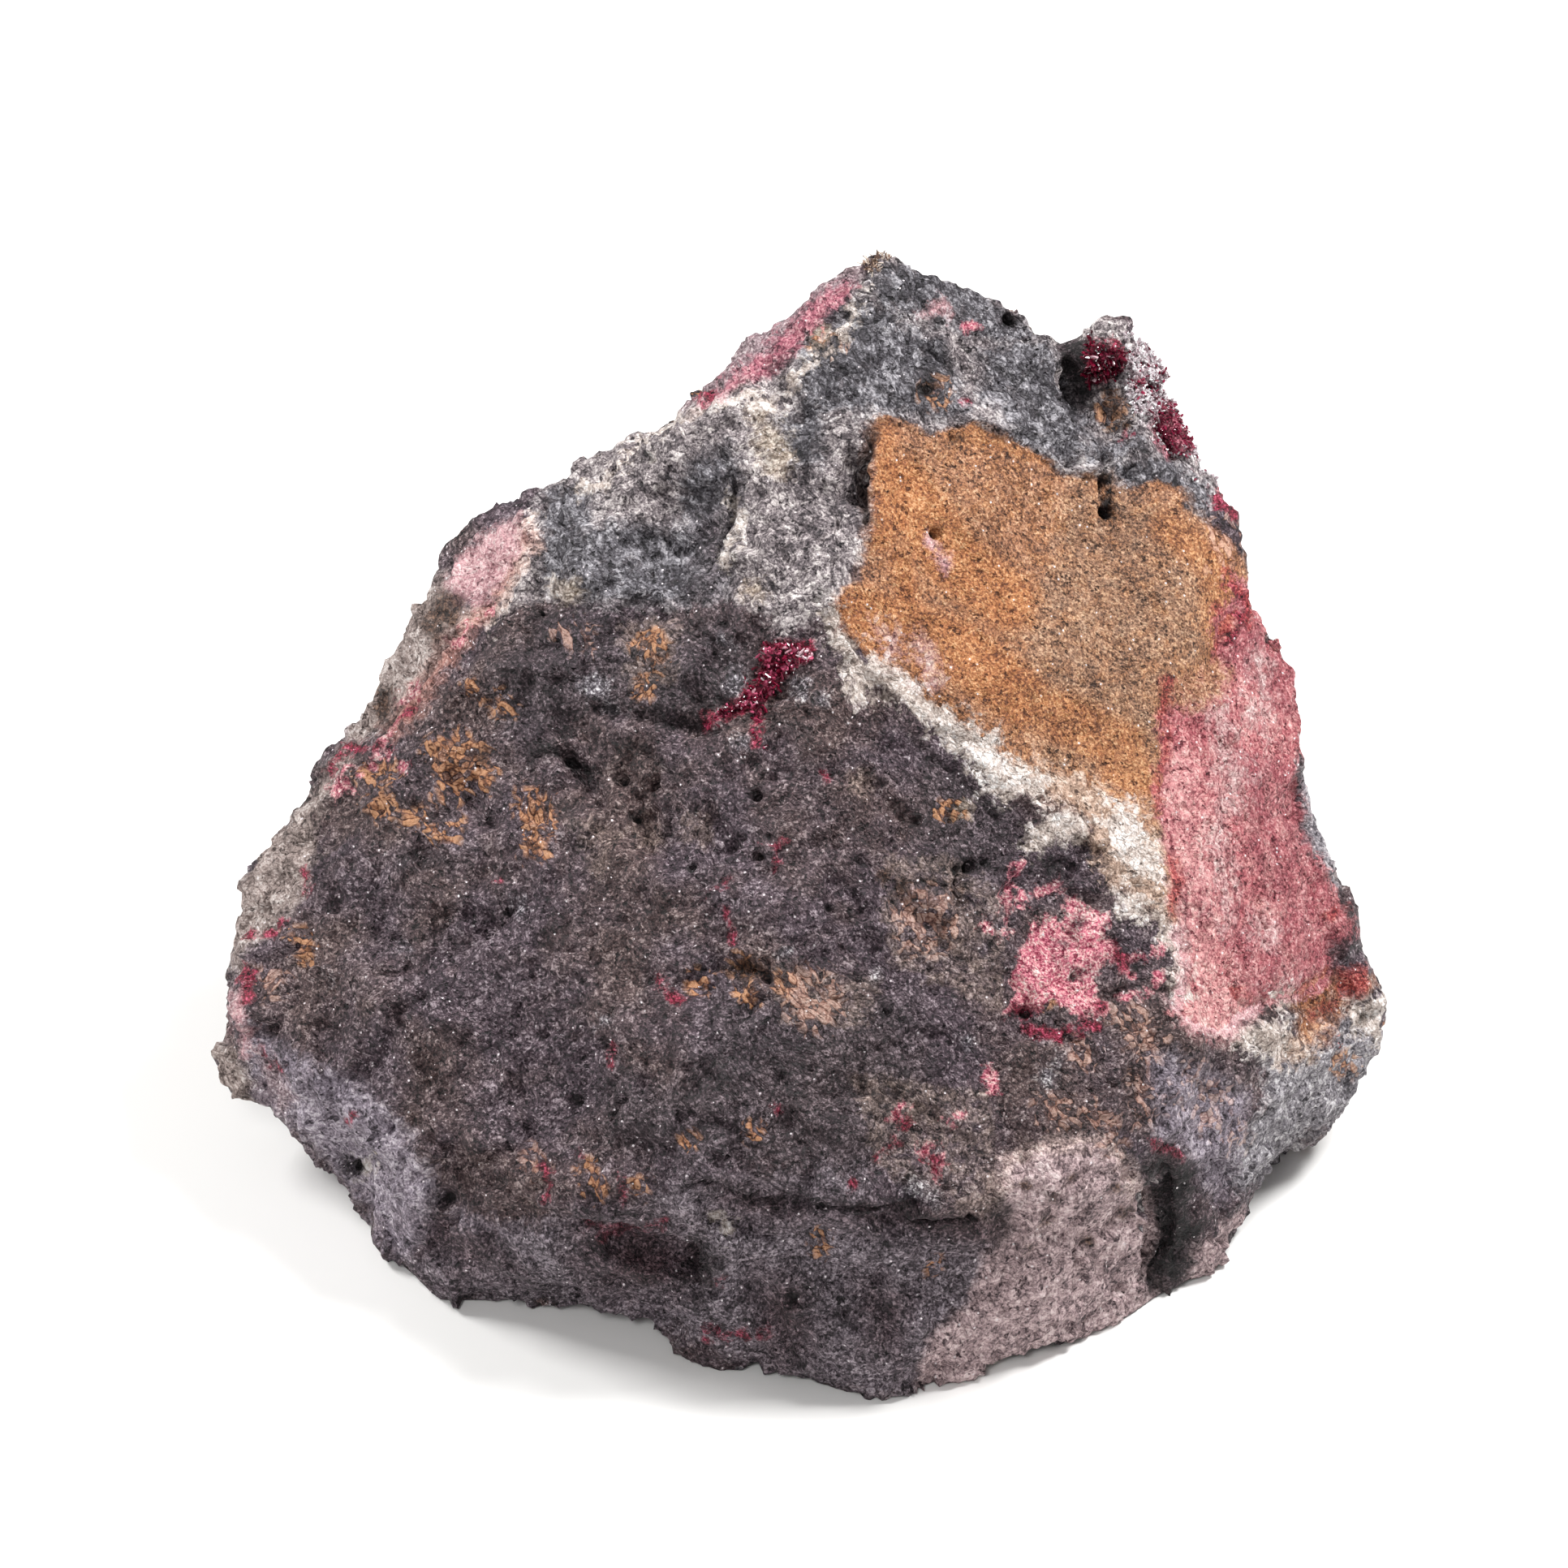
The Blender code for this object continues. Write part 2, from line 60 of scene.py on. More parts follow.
tilt = math.radians(viewpoint["elevation"])
forward = np.array((0.0, math.cos(tilt), -math.sin(tilt)))
upward = np.array((0.0, math.sin(tilt), math.cos(tilt)))
sideways = np.array((1.0, 0.0, 0.0))
eye = np.array(viewpoint["target"]) * mm - forward * viewpoint["distance"] * mm
focalPixels = viewpoint["lens"] / viewpoint["sensor"] * viewpoint["picture"]
pixelsPerMm = focalPixels / viewpoint["distance"]


def hexColour(code):  # an sRGB hex colour as linear red, green, blue and alpha
    parts = [int(code[i : i + 2], 16) / 255 for i in (1, 3, 5)]
    return [p / 12.92 if p <= 0.04045 else ((p + 0.055) / 1.055) ** 2.4 for p in parts] + [1.0]


def addNode(tree, kind, inputs=None, **settings):  # inputs: socket name or number to a value or a socket
    node = tree.nodes.new(kind)
    for key, value in settings.items():
        setattr(node, key, value)
    for name, value in (inputs or {}).items():
        if isinstance(value, bpy.types.NodeSocket):
            tree.links.new(value, node.inputs[name])
        else:
            node.inputs[name].default_value = value
    return node


def selectOnly(item):
    bpy.ops.object.select_all(action="DESELECT")
    item.select_set(True)
    bpy.context.view_layer.objects.active = item


def applyModifier(item, kind, **settings):
    modifier = item.modifiers.new(kind, kind)
    for key, value in settings.items():
        setattr(modifier, key, value)
    selectOnly(item)
    bpy.ops.object.modifier_apply(modifier=modifier.name)


def copyOf(item, name):  # its own mesh, merged
    made = bpy.data.objects.new(name, item.data.copy())
    bpy.context.scene.collection.objects.link(made)
    made.data.materials.clear()
    selectOnly(made)
    bpy.ops.object.mode_set(mode="EDIT")
    bpy.ops.mesh.select_all(action="SELECT")
    bpy.ops.mesh.remove_doubles(threshold=0.001 * mm)
    bpy.ops.object.mode_set(mode="OBJECT")
    return made


def pointsOf(item):
    points = np.empty(len(item.data.vertices) * 3)
    item.data.vertices.foreach_get("co", points)
    return points.reshape(-1, 3)


def normalsOf(item):
    normals = np.empty(len(item.data.vertices) * 3)
    item.data.vertices.foreach_get("normal", normals)
    return normals.reshape(-1, 3)


def movePoints(item, points):
    item.data.vertices.foreach_set("co", points.ravel())
    item.data.update()


def picturePlaces(points):  # where the points show in the picture, in pixels
    away = points - eye
    depth = away @ forward
    across = viewpoint["picture"] / 2 + focalPixels * (away @ sideways) / depth
    down = viewpoint["picture"] / 2 - focalPixels * (away @ upward) / depth
    return np.stack([across, down], axis=1)


def toLine(places, path):  # distance to a line of points
    nearest = np.full(len(places), np.inf)
    corners = np.array(path, float)
    for start, end in zip(corners[:-1], corners[1:]):
        along = end - start
        share = np.clip((places - start) @ along / (along @ along), 0, 1)
        nearest = np.minimum(nearest, np.linalg.norm(places - start - share[:, None] * along, axis=1))
    return nearest


def intoArea(places, outline):  # distance in from an outline, negative outside it
    inside = np.zeros(len(places), bool)
    corners = np.array(outline + outline[:1], float)
    for (x1, y1), (x2, y2) in zip(corners[:-1], corners[1:]):
        if y1 != y2:
            crosses = (y1 > places[:, 1]) != (y2 > places[:, 1])
            inside ^= crosses & (places[:, 0] < x1 + (places[:, 1] - y1) * (x2 - x1) / (y2 - y1))
    distance = toLine(places, corners)
    return np.where(inside, distance, -distance)


def smooth(values, low, high):
    share = np.clip((values - low) / (high - low), 0, 1)
    return share * share * (3 - 2 * share)


# The stone's colours. Each family of marks has areas (outlines), strokes (a path and its width) and
# spots (place and radius), all in picture pixels. "behind" gives the size in millimetres of the
# family's patches on the sides that the picture doesn't show, and how rare they are. "most" caps how
# far in a place counts, in millimetres, so that a low cap leaves patches only.
stoneMarks = {
    "pale": {
        "areas": [
            [(598, 762), (626, 705), (655, 640), (662, 590), (760, 520), (853, 498), (922, 472),
             (978, 450), (1029, 398), (1060, 331), (1130, 290), (1330, 380), (1420, 430), (1510, 620),
             (1465, 640), (1424, 590), (1387, 610), (1359, 590), (1304, 590), (1281, 562), (1235, 541),
             (1199, 524), (1144, 540), (1111, 524), (1082, 520), (1077, 600), (1075, 657), (1045, 722),
             (1040, 745), (1010, 762), (968, 781), (936, 756), (890, 740), (830, 748), (728, 750),
             (667, 738), (626, 748)],
        ],
        "spots": [(1556, 1285, 26), (1590, 1262, 18)],
        "behind": (22.0, 0.15),
    },
    # dark grey rock; the third area and the second stroke, along the arc-shaped chip scar, are painted shade on its low
    # side
    "slateAndShade": {
        "areas": [
            [(1066, 338), (1121, 320), (1217, 359), (1290, 410), (1240, 425), (1160, 405), (1085, 380)],
            [(1372, 572), (1440, 560), (1492, 600), (1497, 645), (1464, 668), (1430, 625), (1385, 622)],
            [(838, 590), (870, 560), (900, 545), (905, 600), (886, 680), (862, 672), (845, 640)],
            [(670, 600), (735, 597), (730, 700), (690, 720), (665, 680)],
            [(985, 430), (1060, 360), (1160, 420), (1200, 515), (1140, 512), (1080, 512), (1040, 500), (985, 530)],
            [(946, 510), (1010, 510), (1010, 570), (975, 575), (950, 540)],
            [(1200, 425), (1290, 415), (1320, 470), (1345, 520), (1330, 575), (1260, 560), (1225, 500)],
            [(668, 655), (760, 645), (905, 655), (900, 735), (830, 745), (728, 745), (668, 735)],
        ],
        "most": 1.0,
        "strokes": [([(1215, 480), (1300, 530), (1350, 560), (1400, 545)], 26), ([(895, 560), (908, 620), (888, 678)], 22)],
        "behind": (14.0, 0.35),
    },
    # darker rock; its third area, beside the arc-shaped chip scar, is painted shade
    "gloom": {
        "areas": [
            [(672, 752), (905, 752), (935, 800), (925, 850), (870, 885), (735, 872), (700, 900), (640, 900),
             (600, 870), (620, 800)],
            [(850, 1330), (880, 1235), (1130, 1225), (1150, 1320), (1130, 1400), (1060, 1455), (900, 1440),
             (750, 1410), (740, 1330)],
            [(868, 640), (905, 600), (908, 680), (890, 740), (850, 735)],
            [(1150, 925), (1215, 940), (1260, 1010), (1240, 1090), (1160, 1110), (1120, 1010)],
        ],
        "behind": (18.0, 0.1),
    },
    "dusk": {
        "areas": [
            [(840, 1442), (940, 1450), (1060, 1442), (1075, 1475), (1150, 1515), (1236, 1530), (1240, 1546),
             (1205, 1600), (1150, 1645), (1130, 1715), (1010, 1725), (930, 1690), (870, 1655), (760, 1640),
             (650, 1625), (560, 1600), (500, 1560), (560, 1530), (720, 1500), (820, 1470)],
        ],
        "behind": (16.0, 0.25),
    },
    "orange": {
        "areas": [
            [(1079, 515), (1111, 520), (1144, 536), (1199, 520), (1235, 538), (1281, 559), (1304, 584),
             (1359, 590), (1387, 607), (1424, 590), (1456, 604), (1465, 632), (1493, 643), (1518, 671),
             (1550, 717), (1530, 722), (1516, 752), (1508, 825), (1446, 852), (1441, 905), (1449, 935),
             (1437, 985), (1450, 1076), (1452, 1144), (1423, 1101), (1394, 1043), (1346, 1009),
             (1281, 965), (1190, 901), (1125, 859), (1060, 800), (1029, 754), (1040, 722), (1060, 715),
             (1075, 657), (1077, 560)],
        ],
    },
    "worn": {
        "areas": [
            [(1330, 600), (1460, 640), (1500, 700), (1480, 800), (1425, 850), (1415, 960), (1290, 940),
             (1270, 800)],
        ],
        "most": 0.3,
    },
    "sandy": {
        "areas": [
            [(1283, 940), (1330, 955), (1380, 975), (1430, 985), (1440, 1040), (1448, 1080), (1450, 1130),
             (1440, 1150), (1415, 1125), (1385, 1095), (1355, 1080), (1345, 1050), (1335, 1010), (1310, 995),
             (1285, 975)],
            [(1225, 925), (1260, 930), (1300, 960), (1290, 985), (1250, 960)],
            [(1566, 1274), (1618, 1270), (1612, 1305), (1570, 1310)],
        ],
    },
    "rim": {"strokes": [([(1233, 1462), (1242, 1428), (1290, 1414), (1357, 1404), (1380, 1428), (1398, 1470)], 15)]},
    "buff": {
        "areas": [
            [(1080, 520), (1300, 590), (1460, 610), (1540, 715), (1430, 840), (1430, 1110), (1190, 900),
             (1035, 760), (1075, 657)],
        ],
        "most": -0.35,
    },
    # white fibrous fringe; the strokes along the top-left edges and the patch on the lower right edge are painted
    # highlights where light catches the rim
    "fringeAndRimHighlight": {
        "areas": [
            [(1180, 905), (1228, 900), (1240, 935), (1287, 960), (1282, 985), (1240, 985), (1208, 972),
             (1193, 945), (1178, 920)],
            [(1262, 1045), (1272, 1015), (1320, 1000), (1338, 1010), (1330, 1035), (1300, 1040), (1275, 1052)],
            [(1358, 990), (1385, 985), (1402, 1005), (1420, 1035), (1432, 1060), (1438, 1085), (1420, 1095),
             (1395, 1075), (1372, 1055), (1360, 1020)],
            [(1373, 1105), (1400, 1100), (1412, 1120), (1408, 1137), (1385, 1130)],
            [(1514, 1262), (1560, 1255), (1590, 1275), (1580, 1305), (1540, 1295), (1520, 1285)],
            # painted highlight on the lower right edge
            [(1660, 1228), (1700, 1225), (1710, 1255), (1700, 1285), (1675, 1270)],
        ],
        "strokes": [
            ([(1022, 762), (1040, 795), (1060, 822)], 26),
            ([(1056, 850), (1087, 832), (1114, 851), (1162, 888), (1198, 916)], 34),
            ([(1425, 1125), (1442, 1150), (1450, 1190), (1453, 1222)], 18),
            # painted highlights along the top-left edges
            ([(600, 765), (632, 716), (656, 655)], 12),
            ([(722, 603), (790, 548), (850, 508), (905, 492), (955, 502)], 10),
            ([(1062, 358), (1044, 404), (1012, 444), (975, 474)], 4),
            ([(905, 620), (912, 660), (895, 690)], 10),
        ],
        "spots": [(892, 1511, 9), (450, 1437, 7), (1580, 1236, 12), (686, 728, 8)],
        "behind": (10.0, 0.7),
    },
    "pink": {
        "areas": [
            [(1310, 1120), (1325, 1111), (1361, 1129), (1364, 1153), (1378, 1165), (1367, 1189), (1349, 1203),
             (1358, 1225), (1361, 1247), (1343, 1252), (1325, 1247), (1300, 1235), (1280, 1247), (1261, 1237),
             (1240, 1247), (1252, 1225), (1249, 1201), (1261, 1171), (1267, 1159), (1273, 1138), (1291, 1135),
             (1310, 1141)],
        ],
        "strokes": [
            ([(1184, 395), (1202, 405)], 2),
            ([(473, 910), (488, 893)], 7),
            ([(455, 938), (480, 928), (500, 945)], 8),
            ([(410, 978), (420, 958), (434, 950)], 7),
            ([(592, 754), (606, 738)], 7),
            ([(560, 792), (578, 772)], 6),
            ([(498, 864), (512, 848)], 7),
            ([(1500, 598), (1504, 606)], 5),
            ([(1238, 1150), (1240, 1110), (1248, 1080), (1256, 1062)], 9),
            ([(1284, 1099), (1304, 1087)], 8),
            ([(1112, 1362), (1100, 1380)], 5),
            ([(1124, 1420), (1158, 1418), (1156, 1452)], 5),
            ([(1170, 1382), (1186, 1376)], 6),
            ([(1216, 1322), (1226, 1340)], 8),
        ],
        "spots": [
            (1264, 1103, 7), (1218, 1138, 5), (430, 974, 5), (1392, 1200, 7), (1408, 1222, 6), (1400, 1180, 6),
            (1386, 1228, 6), (1425, 1205, 6), (1430, 1175, 5), (1513, 630, 4),
        ],
        "behind": (12.0, 0.78),
    },
    "blush": {
        "areas": [
            [(600, 655), (646, 636), (642, 680), (617, 710), (600, 736), (558, 745), (548, 722), (562, 692)],
            [(1440, 1225), (1462, 1245), (1505, 1262), (1530, 1240), (1545, 1210), (1560, 1240), (1508, 1280),
             (1466, 1266)],
        ],
        "strokes": [
            ([(1146, 664), (1150, 674)], 7),
            ([(1157, 682), (1166, 698)], 8),
            ([(1138, 388), (1158, 378), (1168, 388)], 12),
            ([(1453, 1150), (1458, 1190), (1458, 1236)], 9),
            ([(300, 1228), (298, 1258), (304, 1292)], 13),
        ],
    },
    "mauve": {
        "areas": [
            [(838, 506), (868, 466), (903, 438), (946, 395), (1002, 350), (1051, 318), (1066, 325), (1051, 352),
             (1030, 372), (1002, 408), (981, 436), (946, 457), (882, 485), (847, 513)],
            [(316, 1292), (340, 1300), (365, 1350), (350, 1372), (322, 1340)],
        ],
    },
    "ridge": {
        "areas": [
            [(868, 498), (903, 464), (946, 426), (995, 378), (1040, 346), (1052, 352), (1030, 378), (1002, 408),
             (975, 438), (940, 460), (890, 488)],
        ],
    },
    "salmon": {
        "strokes": [
            ([(1405, 1290), (1412, 1330), (1408, 1368)], 9),
            ([(1345, 1372), (1368, 1408)], 8),
            ([(1500, 655), (1508, 690)], 18),
            ([(1480, 840), (1492, 860)], 20),
            ([(700, 775), (722, 788)], 10),
        ],
        "areas": [
            [(1380, 1252), (1400, 1246), (1424, 1285), (1410, 1298), (1388, 1285)],
            [(1112, 1110), (1140, 1098), (1165, 1102), (1170, 1145), (1150, 1168), (1122, 1162)],
        ],
        "spots": [
            (1300, 1370, 12), (660, 1428, 8), (330, 1210, 9), (980, 1213, 10), (1334, 1300, 8),
            (1468, 1322, 6), (1500, 1345, 5), (1490, 1378, 5), (1520, 1400, 8), (1440, 1350, 5), (1005, 1232, 26),
        ],
        "most": 0.4,
        "behind": (8.0, 0.8),
    },
    "stripe": {"strokes": [([(650, 664), (612, 728), (572, 778), (528, 838), (484, 896)], 24)]},
    "raspberry": {
        "areas": [
            [(1508, 704), (1528, 712), (1550, 716), (1562, 790), (1612, 818), (1612, 905), (1594, 940), (1604, 1038),
             (1640, 1086), (1672, 1149), (1640, 1165), (1640, 1210), (1600, 1235), (1577, 1235),
             (1534, 1252), (1505, 1277), (1466, 1264), (1442, 1248), (1458, 1221), (1462, 1182),
             (1467, 1139), (1442, 1070), (1424, 985), (1437, 933), (1427, 901), (1436, 846),
             (1493, 822), (1500, 760), (1524, 738)],
        ],
        "beside": ("side_crust", 0.8, 2.0),
    },
    "rosy": {
        "areas": [[(1466, 1228), (1500, 1212), (1530, 1222), (1548, 1250), (1508, 1280), (1462, 1266)]],
        "strokes": [([(1450, 945), (1458, 1040), (1470, 1130), (1472, 1190)], 36)],
        "most": 0.5,
    },
    "wine": {
        "areas": [
            [(1520, 930), (1592, 945), (1612, 1050), (1665, 1150), (1640, 1205), (1590, 1185), (1550, 1080),
             (1525, 1000)],
            [(1556, 800), (1606, 822), (1604, 885), (1560, 875), (1530, 830)],
            [(1500, 750), (1530, 742), (1556, 790), (1530, 830), (1500, 815)],
            [(1500, 1140), (1620, 1130), (1640, 1205), (1590, 1225), (1525, 1222)],
        ],
        "most": 0.2,
    },
    "ochre": {
        "areas": [[(1424, 846), (1449, 832), (1476, 822), (1500, 810), (1514, 836), (1500, 866), (1462, 876), (1430, 872)]],
        "most": 0.6,
    },
    "streak": {
        "strokes": [
            ([(1500, 880), (1508, 960), (1500, 1040), (1506, 1130)], 18),
            ([(1548, 812), (1552, 900)], 10),
            ([(1136, 796), (1152, 846)], 14),
            ([(1090, 775), (1104, 810)], 10),
        ],
        "spots": [(1516, 955, 16), (1552, 1155, 11), (1545, 1128, 7), (1536, 880, 9), (1582, 1222, 13)],
    },
    "rust": {
        "areas": [[(1592, 1230), (1640, 1200), (1684, 1210), (1659, 1240), (1635, 1280), (1611, 1282)]],
        "strokes": [
            ([(1084, 540), (1082, 600), (1086, 660)], 26),
            ([(1110, 690), (1122, 760), (1140, 830)], 16),
            ([(1110, 600), (1175, 690), (1240, 740)], 60),
            ([(1060, 760), (1180, 800), (1260, 860)], 60),
            ([(1440, 650), (1500, 700), (1500, 770)], 30),
            ([(1300, 880), (1380, 920), (1400, 1000)], 50),
        ],
        "most": 0.1,
        "behind": (8.0, 0.85),
    },
    "crimson": {
        "strokes": [
            ([(995, 800), (960, 812), (938, 850), (912, 872), (872, 888)], 16),
            ([(936, 872), (938, 918)], 9),
            ([(1518, 722), (1536, 740), (1510, 790)], 14),
            ([(811, 1220), (830, 1234), (850, 1230)], 6),
            ([(757, 1292), (752, 1312)], 7),
            ([(668, 1436), (674, 1456), (668, 1476)], 8),
            ([(718, 1523), (752, 1528), (790, 1520)], 5),
            ([(764, 1448), (770, 1482)], 5),
            ([(894, 1122), (902, 1158)], 5),
            ([(871, 1104), (904, 1086)], 3),
            ([(1105, 1372), (1118, 1385), (1100, 1400)], 7),
            ([(1081, 1425), (1098, 1410), (1111, 1406)], 6),
            ([(1142, 1420), (1158, 1432), (1156, 1449)], 6),
            ([(381, 1077), (379, 1101)], 7),
            ([(1255, 1240), (1270, 1252), (1283, 1240)], 9),
            ([(1319, 1268), (1334, 1258), (1349, 1264)], 9),
            ([(1375, 1168), (1384, 1180), (1390, 1200)], 7),
            ([(869, 1640), (905, 1648), (949, 1644)], 7),
            ([(740, 1535), (775, 1526), (820, 1508)], 6),
            ([(808, 1205), (818, 1222), (844, 1234)], 5),
            ([(1422, 1410), (1450, 1422)], 9),
            ([(1268, 1268), (1306, 1276)], 10),
            ([(405, 950), (428, 934), (448, 922)], 8),
            ([(452, 926), (463, 914)], 10),
            ([(486, 892), (500, 878), (516, 864)], 5),
            ([(935, 1038), (950, 1041), (965, 1036)], 3),
            ([(955, 1046), (958, 1074)], 3),
            ([(1496, 568), (1507, 602), (1517, 636)], 9),
            ([(303, 1196), (308, 1235)], 11),
            ([(330, 1300), (345, 1320)], 6),
            ([(330, 1150), (348, 1138)], 8),
            ([(1437, 525), (1462, 548), (1480, 560)], 18),
            ([(860, 494), (880, 484)], 7),
        ],
        "spots": [
            (1365, 440, 20), (1049, 1457, 7), (378, 1092, 6), (306, 1152, 6), (431, 1380, 5), (712, 1418, 5),
            (885, 1576, 7), (871, 1650, 4), (1269, 1246, 9), (1352, 1240, 9), (1188, 492, 5), (1331, 1266, 8),
            (954, 1042, 4), (612, 1085, 3), (958, 1365, 4), (1135, 1427, 5), (1018, 960, 4), (1508, 618, 14),
            (1415, 480, 9), (1388, 536, 5),
        ],
        "behind": (6.0, 0.78),
    },
    "brown": {
        "spots": [
            (800, 792, 14), (815, 812, 12), (862, 1212, 9), (922, 1224, 9), (909, 1190, 7), (1289, 1224, 11),
            (790, 845, 11), (730, 1462, 13), (724, 1440, 9), (786, 1462, 7), (1370, 508, 14), (1374, 495, 10),
            (1020, 420, 14), (1152, 485, 13), (970, 1212, 10), (917, 1190, 9), (848, 1406, 6), (1150, 1560, 5),
            (1010, 1540, 5), (1170, 1000, 13), (620, 870, 10), (585, 850, 8), (1655, 1312, 11), (930, 1395, 6),
        ],
        "areas": [
            [(528, 918), (565, 905), (592, 922), (608, 950), (602, 972), (575, 955), (562, 978), (546, 990),
             (540, 960), (530, 945)],
            [(638, 1008), (648, 972), (674, 982), (678, 1030), (668, 1062), (643, 1052), (650, 1028)],
            [(447, 992), (468, 983), (488, 996), (470, 1005)],
            [(500, 1004), (522, 998), (527, 1012), (508, 1019)],
            [(526, 1018), (564, 1017), (560, 1033), (532, 1031)],
            [(355, 1150), (372, 1144), (380, 1165), (377, 1180), (365, 1173)],
            [(441, 945), (489, 938), (485, 967), (450, 964)],
        ],
        "most": 0.35,
        "behind": (12.0, 0.62),
    },
    "tan": {
        "spots": [(950, 540, 20), (956, 570, 18), (700, 728, 15), (1013, 414, 14), (938, 515, 12), (930, 730, 12), (1184, 1000, 10)],
        "behind": (14.0, 0.7),
    },
    "beige": {
        "areas": [
            [(1090, 1060), (1170, 1060), (1240, 1120), (1230, 1240), (1100, 1180)],
            [(960, 1200), (1080, 1210), (1060, 1260), (970, 1250)],
            [(770, 770), (835, 765), (830, 835), (780, 840)],
            [(1060, 1330), (1210, 1350), (1230, 1500), (1140, 1470), (1080, 1420)],
            [(700, 1010), (760, 1030), (740, 1080)],
        ],
        "spots": [(856, 1022, 14), (796, 1024, 12), (1062, 966, 14), (1142, 1130, 26)],
        "most": -0.1,
        "behind": (12.0, 0.45),
    },
    "glint": {
        "spots": [
            (735, 846, 15), (748, 868, 9), (894, 792, 8), (985, 850, 12), (905, 845, 14), (994, 838, 6),
            (917, 918, 8), (1078, 1205, 4), (1191, 1284, 5), (743, 1257, 4), (967, 1176, 3), (1128, 1466, 14),
            (1150, 1474, 10), (1290, 1330, 12), (1300, 1310, 9), (640, 1118, 9), (742, 1258, 5), (1012, 862, 7),
            (1240, 1700, 5), (412, 1205, 7), (500, 1170, 6),
        ],
        "behind": (2.4, 0.85),
    },
    "quartz": {
        "areas": [
            [(552, 705), (560, 745), (600, 745), (560, 790), (520, 838), (480, 892), (440, 925), (425, 918),
             (455, 850), (480, 770), (505, 735)],
            [(304, 1077), (320, 1037), (345, 1015), (373, 994), (401, 950), (429, 926), (440, 935), (400, 985),
             (388, 1010), (392, 1057), (377, 1089), (365, 1113), (341, 1139), (326, 1157), (312, 1167), (300, 1181),
             (296, 1202), (284, 1189), (284, 1117)],
            [(250, 1280), (288, 1292), (306, 1320), (306, 1362), (268, 1362), (250, 1320)],
        ],
        "behind": (16.0, 0.62),
    },
    "violet": {
        "areas": [
            [(308, 1262), (336, 1284), (373, 1304), (409, 1316), (449, 1348), (497, 1388), (529, 1433), (540, 1479),
             (520, 1530), (490, 1550), (460, 1503), (430, 1460), (385, 1420), (350, 1380), (312, 1338), (296, 1302)],
            [(1412, 1300), (1450, 1296), (1530, 1345), (1548, 1430), (1500, 1480), (1474, 1430), (1425, 1400)],
        ],
        "strokes": [([(560, 1500), (640, 1530), (700, 1575)], 18)],
        "behind": (16.0, 0.35),
    },
    "rose": {
        "areas": [
            [(1230, 1424), (1298, 1409), (1360, 1399), (1385, 1433), (1430, 1470), (1425, 1560), (1455, 1592),
             (1442, 1612), (1394, 1640), (1317, 1680), (1200, 1725), (1129, 1712), (1138, 1674),
             (1153, 1645), (1196, 1607), (1211, 1554), (1244, 1515), (1230, 1462)],
            [(1461, 1548), (1534, 1488), (1540, 1510), (1490, 1572), (1450, 1606)],
        ],
        "behind": (20.0, 0.62),
    },
    "brushed": {
        "areas": [
            [(1556, 1296), (1600, 1285), (1655, 1230), (1722, 1250), (1705, 1330), (1660, 1375), (1610, 1405),
             (1560, 1445), (1520, 1465), (1530, 1410), (1560, 1350)],
            [(1592, 942), (1620, 950), (1650, 1090), (1640, 1095), (1605, 1040)],
        ],
        "behind": (18.0, 0.55),
    },
    "shade": {
        "strokes": [
            ([(886, 1456), (912, 1467), (948, 1480)], 13),
            ([(1060, 1490), (1120, 1497), (1180, 1506), (1236, 1520)], 22),
            ([(735, 868), (790, 881), (835, 889), (868, 893)], 5),
            ([(1432, 1445), (1450, 1510), (1442, 1585)], 46),
            ([(664, 932), (690, 925), (724, 952)], 14),
            ([(700, 992), (708, 1020), (716, 1048)], 8),
            ([(1306, 1186), (1335, 1196), (1360, 1190)], 9),
            ([(500, 1056), (545, 1062)], 14),
            ([(1142, 470), (1152, 486)], 16),
            ([(1313, 420), (1330, 490)], 30),
            ([(1075, 530), (1062, 600), (1070, 640)], 10),
        ],
        "spots": [
            (1330, 1138, 8), (1308, 1161, 6), (1232, 1500, 18), (663, 753, 9), (547, 1478, 14), (1145, 480, 18), (1248, 388, 12), (860, 1560, 34), (790, 1560, 30),
            (975, 1610, 20), (438, 1437, 12), (1300, 1068, 20),
            (1655, 1178, 17), (1331, 455, 15), (1330, 480, 12), (1336, 430, 11),
        ],
        "behind": (16.0, 0.45),
    },
    "seam": {
        "areas": [
            [(945, 793), (959, 789), (981, 790), (998, 799), (1001, 814), (981, 823), (967, 831), (959, 847),
             (946, 861), (939, 868), (939, 889), (928, 888), (923, 871), (912, 877), (889, 888), (866, 893),
             (886, 878), (911, 859), (921, 848), (934, 836), (939, 819), (937, 805)],
        ],
        "spots": [(938, 919, 6), (931, 905, 4)],
    },
    "lining": {
        "areas": [
            [(1343, 416), (1354, 419), (1366, 429), (1379, 434), (1388, 441), (1385, 452), (1372, 463),
             (1361, 468), (1350, 474), (1340, 470), (1344, 453), (1340, 437)],
        ],
    },
    "frosted": {
        "areas": [
            [(1386, 439), (1404, 414), (1432, 436), (1490, 556), (1470, 566), (1436, 560), (1419, 526),
             (1398, 509), (1382, 480), (1377, 462)],
        ],
    },
    "redLine": {
        "areas": [[(1644, 1190), (1681, 1188), (1672, 1232), (1650, 1226)]],
        "strokes": [
            ([(1438, 838), (1432, 880), (1438, 925), (1428, 960), (1424, 1000)], 11),
            ([(1442, 1058), (1448, 1085), (1444, 1125)], 13),
            ([(1508, 702), (1524, 722), (1536, 738), (1532, 770)], 11),
            ([(1500, 745), (1508, 770), (1498, 800)], 9),
            ([(1516, 1222), (1532, 1228)], 8),
            ([(1633, 1130), (1650, 1122)], 9),
            ([(1618, 1250), (1640, 1236)], 8),
        ],
    },
    # painted shade, dark reddish, in the lower wall's hollows and in the band under the ledge
